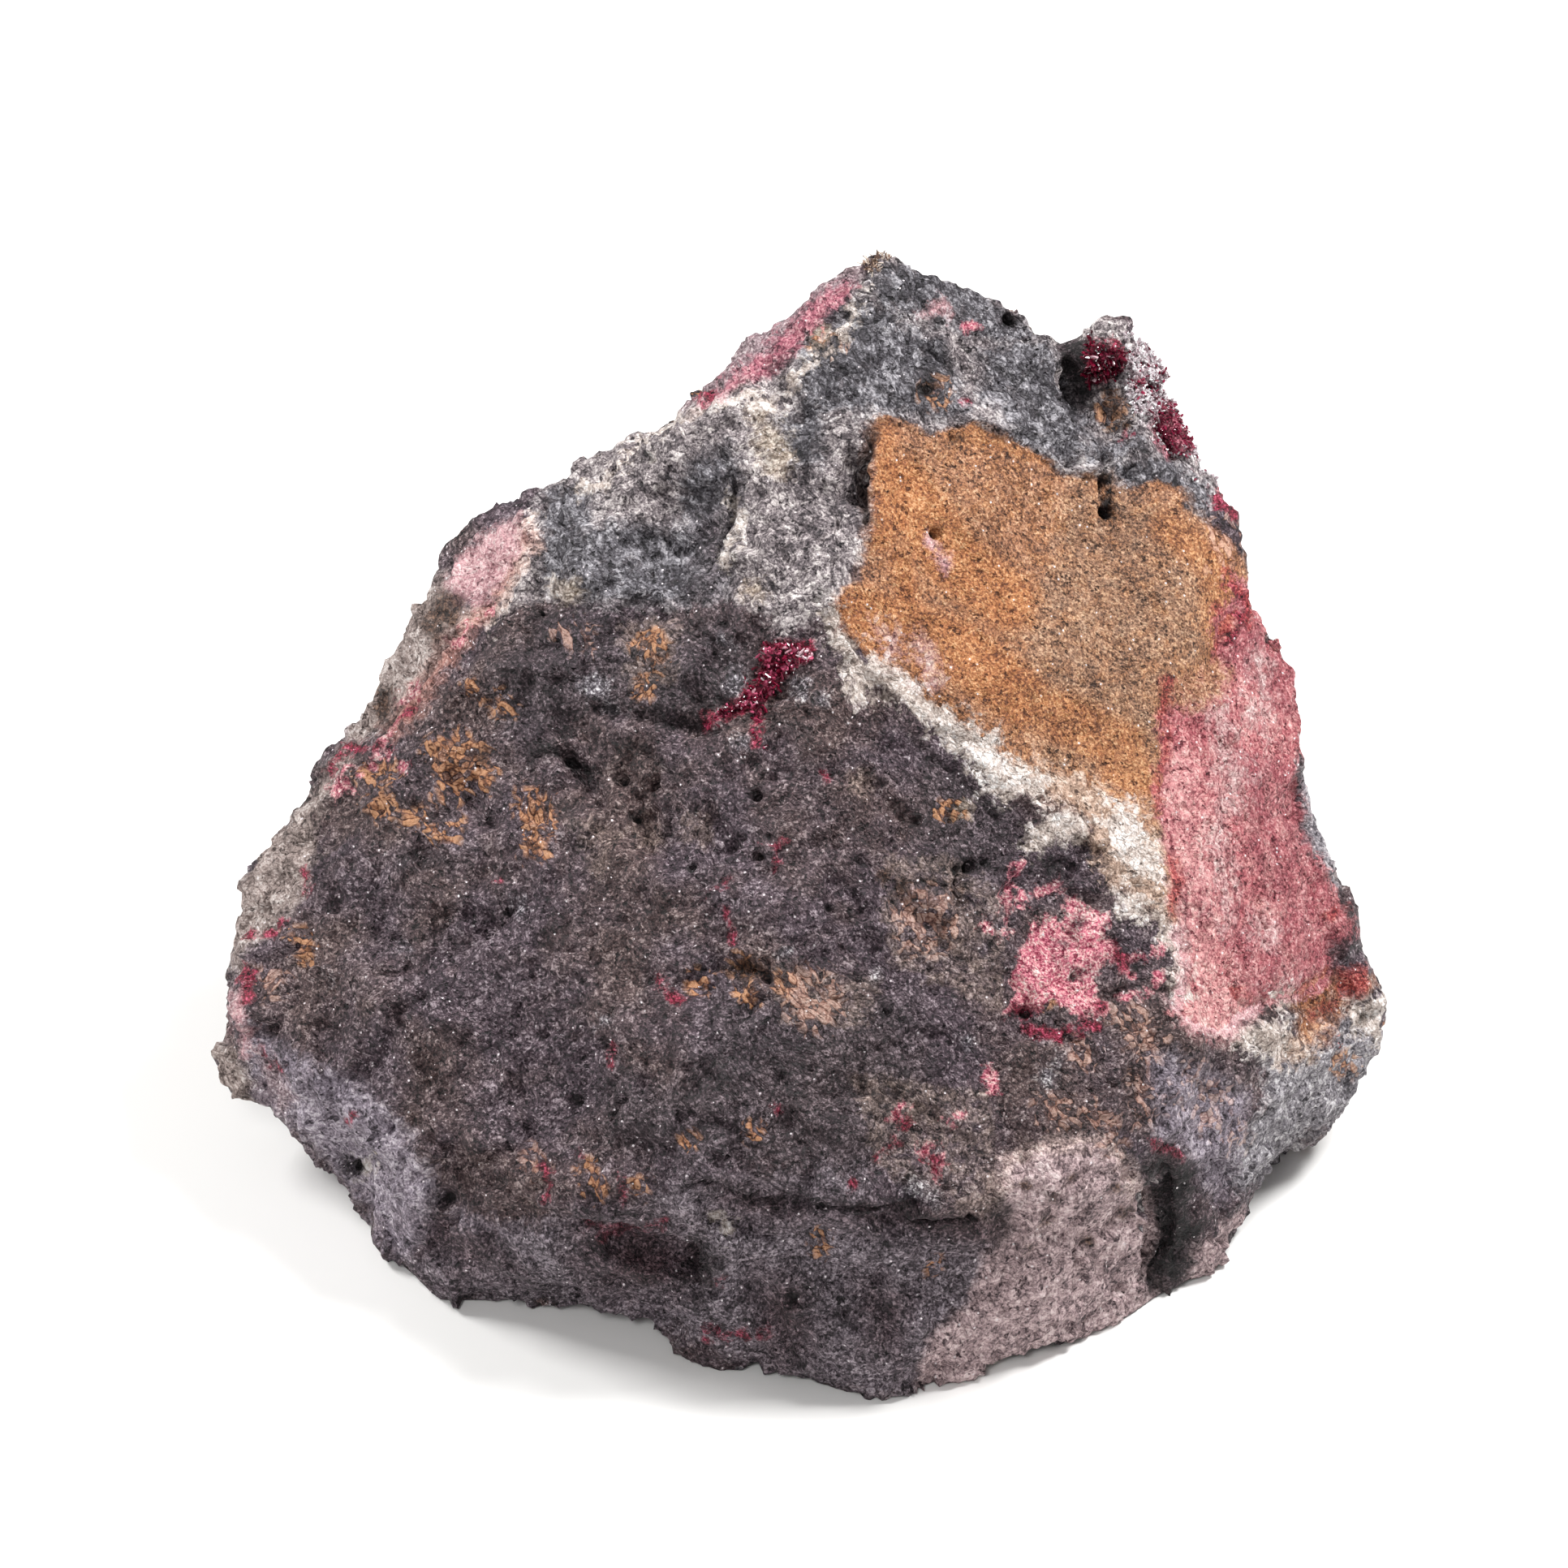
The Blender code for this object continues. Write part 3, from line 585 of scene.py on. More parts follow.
    "paintedHollowShade": {
        "areas": [
            [(700, 1500), (790, 1490), (850, 1530), (840, 1600), (760, 1610), (700, 1570)],
            [(930, 1570), (985, 1580), (1000, 1650), (965, 1700), (930, 1650)],
            [(510, 1500), (600, 1510), (650, 1570), (560, 1580)],
            [(1060, 1580), (1120, 1600), (1110, 1680), (1070, 1660)],
            [(850, 1455), (960, 1470), (1080, 1490), (1230, 1510), (1235, 1540), (1080, 1520), (900, 1500)],
        ],
    },
    # painted shadow, near black, in the deep crack at the lower right and in the pocket's hollow
    "paintedCleftShade": {
        "areas": [
            [(1412, 1436), (1440, 1442), (1470, 1432), (1474, 1460), (1462, 1488), (1476, 1512), (1464, 1536),
             (1464, 1560), (1448, 1580), (1434, 1572), (1428, 1555), (1434, 1530), (1422, 1505), (1426, 1475),
             (1410, 1455)],
            [(1302, 420), (1320, 412), (1338, 420), (1345, 440), (1342, 462), (1333, 484), (1322, 490), (1314, 470),
             (1306, 446)],
        ],
    },
    # dark brown rock; in the hollow beside the pocket and by the pits at the orange face's right, the dark brown is
    # painted shade
    "umberAndShade": {
        "areas": [
            [(1360, 478), (1385, 480), (1392, 500), (1385, 524), (1368, 520), (1357, 498)],
            [(1354, 578), (1371, 580), (1376, 612), (1374, 642), (1355, 640), (1359, 606)],
            [(518, 768), (545, 725), (572, 733), (562, 768), (538, 792)],
            [(462, 846), (484, 848), (482, 896), (461, 888)],
            [(884, 1190), (915, 1180), (950, 1188), (946, 1204), (912, 1208)],
        ],
        "spots": [
            (1262, 1460, 8), (1300, 1478, 7), (1322, 1452, 6), (1290, 1510, 8), (1340, 1530, 6), (1268, 1540, 6),
            (1392, 1500, 9), (1374, 1462, 6), (1090, 1075, 8), (1112, 1092, 9), (1142, 1090, 7), (595, 930, 7),
            (1178, 542, 7),
        ],
        "most": 0.5,
    },
    "redFrost": {
        "areas": [
            [(1428, 500), (1449, 498), (1478, 535), (1488, 556), (1443, 563), (1430, 553), (1421, 525)],
        ],
        "strokes": [([(1434, 462), (1442, 484), (1452, 506)], 7), ([(1400, 470), (1425, 480)], 5)],
    },
}

# Fine relief. Pits have a place, a radius in pixels and a depth in millimetres; grooves have a path,
# a width in pixels and a depth. A negative depth stands out.
stoneRelief = {
    "cell": 0.42,  # the mesh's own cells
    "triangles": 192000,  # what the finished stone keeps, thinned on the sides that the picture doesn't show
    "turnedAway": (-0.5, -0.1),  # from where a side counts as one of those
    "facets": [(4.2, 0.34), (1.7, 0.42)],  # how wide the broken facets are, and how steep
    "grit": (0.9, 0.22),  # size and height of the finest lumps
    "planed": 0.16,  # how much of it is left on the smooth orange face
    "fibres": (0.8, 0.22),  # width and height of the ridges in the pale part
    "fibreWay": (0.62, -0.48, -0.62),
    "pits": [
        (1153, 657, 8, 1.3), (1364, 630, 11, 1.3), (1362, 594, 8, 0.8), (765, 962, 9, 1.0), (805, 965, 9, 1.0), (780, 1008, 6, 0.6),
        (930, 980, 8, 1.0), (935, 1055, 6, 0.9), (853, 1070, 6, 0.7), (913, 1032, 5, 0.6), (700, 935, 12, 0.7),
        (718, 948, 7, 0.6), (1196, 1067, 9, 1.2), (1180, 1070, 7, 1.0), (1215, 1063, 6, 0.9), (1093, 1245, 8, 1.2),
        (1146, 1192, 6, 0.8), (547, 1480, 12, 0.9), (438, 1438, 10, 0.9), (515, 1224, 6, 0.7), (668, 1275, 6, 0.7),
        (663, 753, 7, 0.6), (804, 707, 5, 0.6), (797, 561, 5, 0.5), (1130, 1012, 8, 0.7), (1248, 388, 11, 1.4),
        (1326, 1200, 9, 0.5), (1268, 1248, 7, 0.7), (1141, 478, 12, 0.7), (975, 1600, 11, 0.6), (751, 1247, 5, 0.6),
        (882, 1240, 6, 0.6), (945, 1205, 6, 0.6), (1020, 1120, 7, 0.7), (1060, 1060, 7, 0.7), (1100, 1110, 6, 0.6),
        (931, 979, 8, 0.9), (931, 1055, 6, 0.7), (621, 1124, 5, 0.6), (865, 1193, 4, 0.5), (947, 1209, 5, 0.5),
        (754, 1242, 5, 0.6), (711, 1356, 8, 0.8), (518, 1224, 6, 0.6), (802, 968, 8, 0.9), (784, 1007, 6, 0.6),
        (1170, 1010, 7, 0.7), (1175, 540, 6, 0.7), (1011, 1535, 7, 0.6), (1402, 1190, 12, 0.4), (1480, 1190, 4, 0.4),
    ],
    "grooves": [
        ([(892, 556), (905, 600), (902, 640), (886, 680)], 12, 0.7),
        ([(1072, 530), (1062, 580), (1066, 640)], 12, 1.0),
        ([(1362, 560), (1358, 600), (1366, 628)], 12, 0.6),
        ([(834, 1468), (871, 1455), (930, 1476), (1000, 1487), (1100, 1496), (1200, 1502)], 12, 0.7),
        ([(880, 905), (940, 880), (1000, 905)], 8, 0.3),
        ([(1435, 1440), (1440, 1520), (1430, 1590)], 18, 0.9),
        ([(560, 780), (520, 835), (480, 890), (455, 918)], 8, 0.5),
        ([(1238, 1090), (1246, 1140)], 8, 0.35),
        ([(865, 1090), (905, 1085)], 6, 0.3),
        ([(1120, 905), (1180, 960), (1230, 1010)], 10, 0.35),
        ([(735, 868), (790, 881), (835, 889), (868, 893)], 7, 0.35),
        ([(756, 905), (800, 930), (828, 955)], 8, 0.3),
        ([(1356, 590), (1362, 612), (1364, 634)], 8, 0.9),
        ([(1020, 450), (1080, 480), (1120, 500)], 8, 0.3),
        ([(1180, 420), (1230, 455), (1290, 520)], 9, 0.35),
        ([(1440, 1290), (1470, 1330), (1500, 1350)], 10, 0.3),
        ([(1436, 850), (1430, 905), (1438, 950), (1424, 1010)], 8, 0.25),
        ([(955, 1590), (965, 1640), (985, 1680)], 14, 0.6),
        ([(1035, 1600), (1045, 1640)], 8, 0.4),
        ([(845, 1545), (860, 1600), (880, 1640)], 16, 0.6),
        ([(651, 935), (680, 925), (723, 946)], 9, 0.5),
        ([(768, 868), (830, 880), (872, 890)], 6, 0.4),
        ([(1080, 512), (1140, 530), (1200, 514), (1285, 552), (1310, 580), (1360, 582)], 12, -0.5),
        ([(1040, 800), (1110, 856), (1200, 930), (1290, 1010)], 20, -0.3),
        ([(1352, 405), (1388, 400)], 22, -0.5),
    ],
    # wide soft hollows and swellings
    "hollows": [
        ([(640, 1500), (740, 1530), (840, 1545)], 64, 1.4),
        ([(880, 1500), (960, 1530), (1060, 1530)], 64, 1.1),
        ([(930, 1590), (960, 1650)], 50, 1.1),
        ([(1080, 1590), (1100, 1660)], 46, 0.8),
        ([(760, 1590), (830, 1640)], 50, 1.0),
        ([(700, 1400), (820, 1420)], 44, 0.7),
        ([(735, 872), (868, 900)], 30, 0.8),
        ([(770, 960), (800, 1000), (790, 1040)], 44, 0.8),
        ([(1060, 960), (1110, 1010)], 44, 0.8),
        ([(560, 960), (600, 1010)], 48, 0.8),
        ([(700, 930), (740, 990)], 36, 1.0),
        ([(1090, 1090), (1140, 1130)], 44, 0.8),
        ([(880, 1185), (940, 1200)], 34, 0.8),
        ([(620, 1120), (560, 1180)], 54, 0.7),
        ([(1300, 1500), (1260, 1580)], 44, 0.6),
        ([(1500, 880), (1508, 960), (1500, 1040)], 30, 0.4),
        ([(830, 800), (870, 840)], 80, -0.8),
        ([(620, 820), (700, 850)], 76, -0.7),
        ([(760, 1060), (830, 1090)], 64, -0.7),
        ([(900, 1100), (980, 1130)], 80, -0.7),
        ([(450, 1200), (520, 1260)], 90, -0.7),
        ([(1000, 1380), (1080, 1400)], 60, -0.7),
    ],
}


# painted shade inside the pits and the deeper grooves
stoneMarks["hole"] = {"spots": [(x, y, radius * 0.72) for x, y, radius, depth in stoneRelief["pits"]]}
stoneMarks["crack"] = {
    "strokes": [(path, width * 0.45) for path, width, depth in stoneRelief["grooves"] if depth >= 0.3]
}
stoneMarks["hole"]["strokes"] = [([(688, 928), (706, 938), (724, 950)], 9), ([(1362, 622), (1364, 636)], 12)]


def markField(places, marks):  # how far in from the edges of a family's marks, in millimetres
    field = np.full(len(places), -200.0)
    for outline in marks.get("areas", []):
        field = np.maximum(field, intoArea(places, outline))
    for path, width in marks.get("strokes", []):
        field = np.maximum(field, width / 2 - toLine(places, path))
    for x, y, radius in marks.get("spots", []):
        field = np.maximum(field, radius - np.hypot(places[:, 0] - x, places[:, 1] - y))
    return np.minimum(field / pixelsPerMm, marks.get("most", 5))


def brokenFacets(points, width, slope):  # flat facets with random tilts, as heights
    heights = []
    for point in points:
        place = point / (width * mm)
        middle = noise.voronoi(place)[1][0]
        lean = noise.noise_vector(middle * 5.3)
        heights.append((lean.dot(place - middle) + 0.35 * lean.x) * slope * width * mm)
    return np.array(heights)


def stretched(points, way, length):  # points squeezed along a direction, so that a pattern runs along it
    way = np.array(Vector(way).normalized())
    along = points @ way
    return points - np.outer(along * (1 - 1 / length), way)


def distanceTo(node, points):
    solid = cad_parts[node].data
    tree = BVHTree.FromPolygons([v.co for v in solid.vertices], [p.vertices[:] for p in solid.polygons])
    return np.array([tree.find_nearest(point)[3] for point in points])


# The marks carry on a little way round to the sides that the picture doesn't show, to a ragged end
wrapLook = {"wander": 7.0, "reach": 0.5}


def makeStone():
    stone = copyOf(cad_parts["matrix"], "stoneMatrix")
    applyModifier(stone, "SUBSURF", levels=2, render_levels=2, subdivision_type="SIMPLE")
    applyModifier(stone, "REMESH", mode="VOXEL", voxel_size=stoneRelief["cell"] * mm)
    applyModifier(stone, "SMOOTH", factor=0.5, iterations=2)
    points = pointsOf(stone)
    normals = normalsOf(stone)
    places = picturePlaces(points)
    facing = -(normals @ forward)
    seen = smooth(facing, -0.05, 0.2)
    vectors = [Vector(point) for point in points]
    wander = np.array([noise.fractal(v / (wrapLook["wander"] * mm), 0.8, 2.0, 3) for v in vectors])
    marked = smooth(facing + wrapLook["reach"] * np.clip(0.5 + wander, 0, 1), -0.1, 0.05)
    fields = {}
    for name, marks in stoneMarks.items():
        field = markField(places, marks)
        behind = np.full(len(points), -5.0)
        if "behind" in marks:
            size, rare = marks["behind"]
            shift = Vector((len(fields) * 3.1, 7.7, 2.3))
            behind = np.array([noise.fractal(v / (size * mm) + shift, 0.8, 2.0, 3) for v in vectors])
            behind = (behind - rare) * size
        if "beside" in marks:
            node, reach, ragged = marks["beside"]
            behind = reach + ragged * wander - distanceTo(node, points) / mm
        fields[name] = np.clip(marked * field + (1 - marked) * behind, -5, 5)
    planed = smooth(fields["orange"], -0.6, 0.6) * (1 - stoneRelief["planed"])
    planed = np.maximum(planed, smooth(fields["raspberry"], -0.6, 0.6) * 0.6)
    height = np.zeros(len(points))
    for width, slope in stoneRelief["facets"]:
        height += brokenFacets(vectors, width, slope)
    gritSize, gritHeight = stoneRelief["grit"]
    height += np.array([noise.fractal(v / (gritSize * mm), 0.7, 2.0, 3) for v in vectors]) * gritHeight * mm
    fibreWidth, fibreHeight = stoneRelief["fibres"]
    fibrePoints = stretched(points, stoneRelief["fibreWay"], 5.0) / (fibreWidth * mm)
    ridges = np.array([noise.noise(Vector(point)) for point in fibrePoints])
    height += ridges * fibreHeight * mm * smooth(fields["pale"], -0.5, 0.5)
    height *= 1 - planed
    for x, y, radius, depth in stoneRelief["pits"]:
        distance = np.hypot(places[:, 0] - x, places[:, 1] - y)
        height -= seen * depth * mm * (1 - smooth(distance, radius * 0.4, radius * 1.1))
    for path, width, depth in stoneRelief["grooves"] + stoneRelief["hollows"]:
        height -= seen * depth * mm * (1 - smooth(toLine(places, path), 0, width / 2))
    height[points[:, 2] < 0.3 * mm] = 0
    points += normals * height[:, None]
    points[:, 2] = np.maximum(points[:, 2], 0)
    movePoints(stone, points)
    for name, field in fields.items():
        attribute = stone.data.attributes.new(name, "FLOAT", "POINT")
        attribute.data.foreach_set("value", field)
    bpy.ops.object.shade_smooth()
    stone.data.materials.append(
        rockMaterial(
            "fibrousGreyMatrixBroken",
            stoneLook["tones"],
            list(stoneTints),
            stoneRelief["fibreWay"],
            stoneLook["cloud"],
        )
    )
    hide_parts("matrix")
    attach(stone, "root")
    print("stone:", len(points), "points")
    return stone


# Fibrous and granular altered rock, broken and never polished: dark mineral grains and paler fibres a
# third of a millimetre wide give a fine salt-and-pepper speckle, with small glints where a crystal's
# face lies flat to the light, and painted white glints on a few grains.
stoneLook = {
    "speckle": 0.21,
    "grain": 0.3,
    "lath": 0.52,
    "fibre": 0.34,
    "long": 3.8,  # how much longer than wide laths and fibres are
    "mottle": 1.7,
    "mass": 5.0,
    "domain": 2.6,
    "bend": 0.9,  # how far the domains' fibres are bent
    "turn": 1.3,  # how far the fibre direction turns, in radians
    "brush": (0.9, 7.0),  # width of the streaks along the fibres, and how much longer they are
    "cloud": 9.0,
    "ragged": 1.3,
    "pits": 0.7,
    "pitShade": 0.3,
    # how much of speckle, grain, mottle, mass, fibre, lath, gap, domain and brush, how wide the sum
    # spreads, and how far a tint's edge follows the laths
    "weights": {
        "even": ((1.35, 0.25, 0.4, 0.25, 0.0, 0.0, 0.0, 0.0, 0.1), 0.27, 0.0),
        "streaky": ((1.3, 0.25, 0.3, 0.3, 0.2, 0.1, 0.1, 0.0, 0.6), 0.36, 0.2),
        "matted": ((1.25, 0.3, 0.25, 0.2, 0.3, 0.12, 0.12, 0.08, 0.2), 0.34, 0.1),
        "bladed": ((1.0, 0.15, 0.55, 0.45, 0.5, 0.25, 0.1, 0.12, 0.3), 0.33, 0.12),
        "shard": ((1.0, 0.3, 0.3, 0.2, 0.1, 0.6, 0.5, 0.0, 0.0), 0.42, 0.7),
    },
    "paintedGlints": (0.018, 0.3),  # the share of grains with a painted white glint, and its width in the grain
    "paintedGlintTone": "#e4dbde",
    "grainSlope": 0.8,
    "lathSlope": 0.62,
    "domainSlope": 0.3,
    "speckleRise": 0.14,
    "pitRise": 0.3,
    "fibreRise": 0.22,
    "gapRise": 0.055,
    "mottleRise": 0.4,
    "tones": (["#120b0f", "#382b33", "#5c4c54", "#a09298"], ["#150e0d", "#402e2b", "#644f4a", "#a08d85"]),
}

# Family: its tones from dark to light, how ragged its edge is in millimetres, how soft, its strength,
# and its pattern
stoneTints = {
    "violet": (["#3a323b", "#817682", "#aea3af", "#dad2da"], 1.6, 0.7, 0.75, "bladed"),
    "pale": (["#231d20", "#675d60", "#a59b9b", "#e7dedb"], 2.0, 0.45, 1.0, "bladed"),
    # dark grey rock, and painted shade by the chip scar
    "slateAndShade": (["#121014", "#3b383e", "#6c6a70", "#aeabb1"], 2.2, 0.7, 0.9, "bladed"),
    "gloom": (["#0c0709", "#2a2125", "#4a3e43", "#85767c"], 3.0, 1.4, 0.8, "matted"),
    "dusk": (["#1b1619", "#4c434a", "#7d727a", "#b3a8b0"], 2.4, 0.9, 0.85, "matted"),
    "quartz": (["#4c3f3b", "#8c7c76", "#b0a19b", "#dad0cb"], 1.2, 0.5, 0.9, "bladed"),
    "brushed": (["#38343a", "#7a757b", "#aaa5aa", "#dedbdc"], 1.6, 0.6, 0.9, "bladed"),
    "rose": (["#4a3a3e", "#9b8486", "#c8aeaf", "#ead6d5"], 1.2, 0.4, 0.95, "bladed"),
    "beige": (["#2c211e", "#6f5d56", "#9c877d", "#c7b3a8"], 2.0, 0.7, 0.8, "matted"),
    "tan": (["#5a4a3c", "#92806e", "#b5a391", "#ddd0c0"], 2.2, 0.6, 0.75, "matted"),
    "brown": (["#24130c", "#63391f", "#95603f", "#bd8a63"], 1.2, 0.3, 0.85, "shard"),
    "orange": (["#452b1e", "#8d5a39", "#ac744a", "#d3a57c"], 1.0, 0.25, 1.0, "even"),
    "buff": (["#5c3d30", "#a27a67", "#c69f8a", "#e2c4b2"], 1.4, 0.8, 0.7, "even"),
    "worn": (["#36291f", "#786050", "#9a7e68", "#c4a78c"], 2.6, 1.6, 0.75, "even"),
    "sandy": (["#56413a", "#a08573", "#c8ab99", "#ead8ca"], 2.6, 0.6, 0.9, "bladed"),
    "rim": (["#5c4a48", "#a58d86", "#cbb3aa", "#e9dad2"], 1.6, 0.5, 0.7, "even"),
    "rust": (["#6b3519", "#a65f2c", "#c07a3a", "#dba068"], 1.6, 0.9, 0.8, "even"),
    # white fringe, and painted rim highlights
    "fringeAndRimHighlight": (["#877870", "#b8a9a0", "#dbcfc8", "#f7f3f0"], 3.4, 0.5, 0.95, "bladed"),
    "salmon": (["#4c2a22", "#8a5c4c", "#ab7b68", "#cfa897"], 1.8, 0.5, 0.55, "shard"),
    "raspberry": (["#561722", "#a1585d", "#be7a7b", "#dbaba8"], 1.4, 0.3, 1.0, "streaky"),
    "rosy": (["#84404a", "#c98a8c", "#dda9a6", "#f0cfc8"], 1.6, 0.9, 0.75, "streaky"),
    "wine": (["#3c0d18", "#762b39", "#9a505b", "#c68d90"], 1.6, 0.7, 0.75, "streaky"),
    "ochre": (["#43291c", "#8f6043", "#ad7f5e", "#d3ac8c"], 1.6, 0.5, 0.9, "even"),
    "streak": (["#8a5c5f", "#b99393", "#cfb6b3", "#e8dad6"], 3.0, 0.9, 0.7, "streaky"),
    "stripe": (["#54302a", "#95645a", "#bb8679", "#dcb5a8"], 1.6, 0.7, 0.8, "bladed"),
    "pink": (["#8a2440", "#d4778a", "#efb2b1", "#fbe2dd"], 2.2, 0.3, 0.92, "even"),
    "mauve": (["#33262a", "#80696f", "#ab969a", "#e4d7d8"], 1.4, 0.5, 0.85, "streaky"),
    "ridge": (["#4a1426", "#96465a", "#bb737f", "#dca8aa"], 2.0, 0.5, 0.85, "streaky"),
    "blush": (["#a5787e", "#cd9ca1", "#e1b9bb", "#f1dad8"], 1.8, 0.5, 0.92, "even"),
    "crimson": (["#1e020a", "#5e0a20", "#8d1836", "#c65674"], 1.6, 0.25, 0.95, "even"),
    "redLine": (["#3a070c", "#7e1f26", "#a8403f", "#d08074"], 1.6, 0.35, 0.85, "even"),
    "glint": (["#1c191d", "#484349", "#8f8890", "#ffffff"], 2.0, 0.5, 0.65, "matted"),
    "shade": (["#080506", "#1c1518", "#382d31", "#66585d"], 2.2, 0.7, 0.85, "even"),
    # painted shade in hollows and under the ledge
    "paintedHollowShade": (["#0e0608", "#2c1b20", "#4d363b", "#86696f"], 2.6, 1.8, 0.65, "matted"),
    # dark brown rock, with painted shade in two of its hollows
    "umberAndShade": (["#0c0605", "#291811", "#4f3325", "#7d5d48"], 1.4, 0.4, 0.9, "matted"),
    # painted shadow in the deep crack and the pocket's hollow
    "paintedCleftShade": (["#020102", "#0a0708", "#1f181a", "#564a4e"], 2.2, 0.35, 0.95, "bladed"),
    # painted shade in the deeper grooves and in the pits
    "crack": (["#060405", "#130d0f", "#261d20", "#4a3f43"], 1.0, 0.4, 0.7, "even"),
    "hole": (["#020102", "#080506", "#140d0f", "#2a2022"], 1.1, 0.2, 0.92, "even"),
    "seam": (["#1e020a", "#5a0a20", "#8a1635", "#c2506e"], 1.0, 0.3, 0.9, "even"),
    "lining": (["#140107", "#3c0615", "#6e1029", "#b04460"], 1.0, 0.4, 0.9, "even"),
    "frosted": (["#3c3439", "#857a7f", "#c0b6b9", "#f6f3f3"], 1.2, 0.3, 0.8, "even"),
    "redFrost": (["#2a040e", "#6e1028", "#a02a48", "#d98a9c"], 1.0, 0.3, 0.8, "even"),
}


def rockMaterial(name, baseTones, tintNames, fibreWay, patch, baseKind="matted"):  # patch: how wide the two tones lie
    made = bpy.data.materials.new(name)
    made.use_nodes = True
    tree = made.node_tree
    shader = tree.nodes["Principled BSDF"]
    place = addNode(tree, "ShaderNodeTexCoord").outputs["Object"]

    def perMetre(size):
        return 1 / (size * mm)

    def noiseAt(where, size, detail, roughness):
        inputs = {"Vector": where, "Scale": perMetre(size), "Detail": detail, "Roughness": roughness}
        return addNode(tree, "ShaderNodeTexNoise", inputs).outputs["Fac"]

    def compute(operation, first, second, third=0.0):
        return addNode(tree, "ShaderNodeMath", {0: first, 1: second, 2: third}, operation=operation).outputs[0]

    def spread(value, low, high, start=0.0, end=1.0):
        inputs = {"Value": value, "From Min": low, "From Max": high, "To Min": start, "To Max": end}
        return addNode(tree, "ShaderNodeMapRange", inputs).outputs["Result"]

    def firstOf(colour):
        return addNode(tree, "ShaderNodeSeparateColor", {"Color": colour}).outputs[0]

    speckle = noiseAt(place, stoneLook["speckle"], 3.0, 0.65)
    mottle = noiseAt(place, stoneLook["mottle"], 4.0, 0.65)
    mass = noiseAt(place, stoneLook["mass"], 3.0, 0.55)
    cloud = noiseAt(place, patch, 3.0, 0.6)
    ragged = noiseAt(place, stoneLook["ragged"], 5.0, 0.7)
    grain = addNode(tree, "ShaderNodeTexVoronoi", {"Vector": place, "Scale": perMetre(stoneLook["grain"])})
    grainTone = firstOf(grain.outputs["Color"])

    # domains a few millimetres wide, each with its own fibre direction, bent by a wide noise
    bend = addNode(tree, "ShaderNodeTexNoise", {"Vector": place, "Scale": perMetre(stoneLook["domain"] * 0.7), "Detail": 2.0})
    bent = addNode(tree, "ShaderNodeVectorMath", {0: bend.outputs["Color"], 1: (stoneLook["bend"] * mm,) * 3, 2: place}, operation="MULTIPLY_ADD").outputs[0]
    domain = addNode(tree, "ShaderNodeTexVoronoi", {"Vector": bent, "Scale": perMetre(stoneLook["domain"])})
    inDomain = addNode(tree, "ShaderNodeVectorMath", {0: bent, 1: domain.outputs["Position"]}, operation="SUBTRACT").outputs[0]
    turn = addNode(tree, "ShaderNodeVectorMath", {0: domain.outputs["Color"], "Scale": stoneLook["turn"]}, operation="SCALE").outputs[0]
    turned = addNode(tree, "ShaderNodeVectorRotate", {"Vector": inDomain, "Rotation": turn}, rotation_type="EULER_XYZ").outputs[0]
    fibreTurn = Vector(fibreWay).to_track_quat("X", "Z").to_euler()
    lengthwise = addNode(tree, "ShaderNodeMapping", {"Vector": turned, "Rotation": fibreTurn, "Scale": (stoneLook["long"], 1.0, 1.0)}, vector_type="TEXTURE").outputs["Vector"]
    apart = addNode(tree, "ShaderNodeVectorMath", {0: domain.outputs["Color"], 1: lengthwise}, operation="ADD").outputs[0]
    fibre = noiseAt(apart, stoneLook["fibre"], 3.0, 0.6)
    lath = addNode(tree, "ShaderNodeTexVoronoi", {"Vector": apart, "Scale": perMetre(stoneLook["lath"])})
    lathTone = firstOf(lath.outputs["Color"])
    lathEdge = addNode(tree, "ShaderNodeTexVoronoi", {"Vector": apart, "Scale": perMetre(stoneLook["lath"])}, feature="DISTANCE_TO_EDGE").outputs["Distance"]
    gap = spread(lathEdge, 0.0, 0.16)
    domainTone = firstOf(domain.outputs["Color"])
    brushWidth, brushLength = stoneLook["brush"]
    drawn = addNode(tree, "ShaderNodeMapping", {"Vector": place, "Rotation": fibreTurn, "Scale": (brushLength, 1.0, 1.0)}, vector_type="TEXTURE").outputs["Vector"]
    brush = noiseAt(drawn, brushWidth, 3.0, 0.6)

    # small holes between the grains: a dip in the relief, and painted shade that darkens the tone there
    hollow = spread(noiseAt(place, stoneLook["pits"], 2.0, 0.7), 0.3, 0.37)

    def pattern(parts, width):  # a weighted sum of textures, spread over 0 to 1 round its middle
        total = compute("MULTIPLY", hollow, stoneLook["pitShade"])
        for texture, weight in parts:
            total = compute("MULTIPLY_ADD", texture, weight, total)
        middle = stoneLook["pitShade"] + sum(weight for texture, weight in parts) / 2
        return spread(total, middle - width, middle + width)

    # brightness patterns from dark grain to pale grain
    textures = (speckle, grainTone, mottle, mass, fibre, lathTone, gap, domainTone, brush)
    patterns = {}
    edges = {}
    for kind, (weights, width, jagged) in stoneLook["weights"].items():
        patterns[kind] = pattern(list(zip(textures, weights)), width)
        edges[kind] = compute("MULTIPLY_ADD", compute("SUBTRACT", lathTone, ragged), jagged, ragged)
    stops = (0.06, 0.4, 0.68, 1.0)

    def tones(codes, tone):  # a pattern painted with four colours
        ramp = addNode(tree, "ShaderNodeValToRGB", {"Fac": tone})
        for i, code in enumerate(codes):
            stop = ramp.color_ramp.elements[i] if i < 2 else ramp.color_ramp.elements.new(stops[i])
            stop.position = stops[i]
            stop.color = hexColour(code)
        return ramp.outputs["Color"]

    def mixed(share, first, second):
        return addNode(tree, "ShaderNodeMix", {0: share, 6: first, 7: second}, data_type="RGBA").outputs[2]

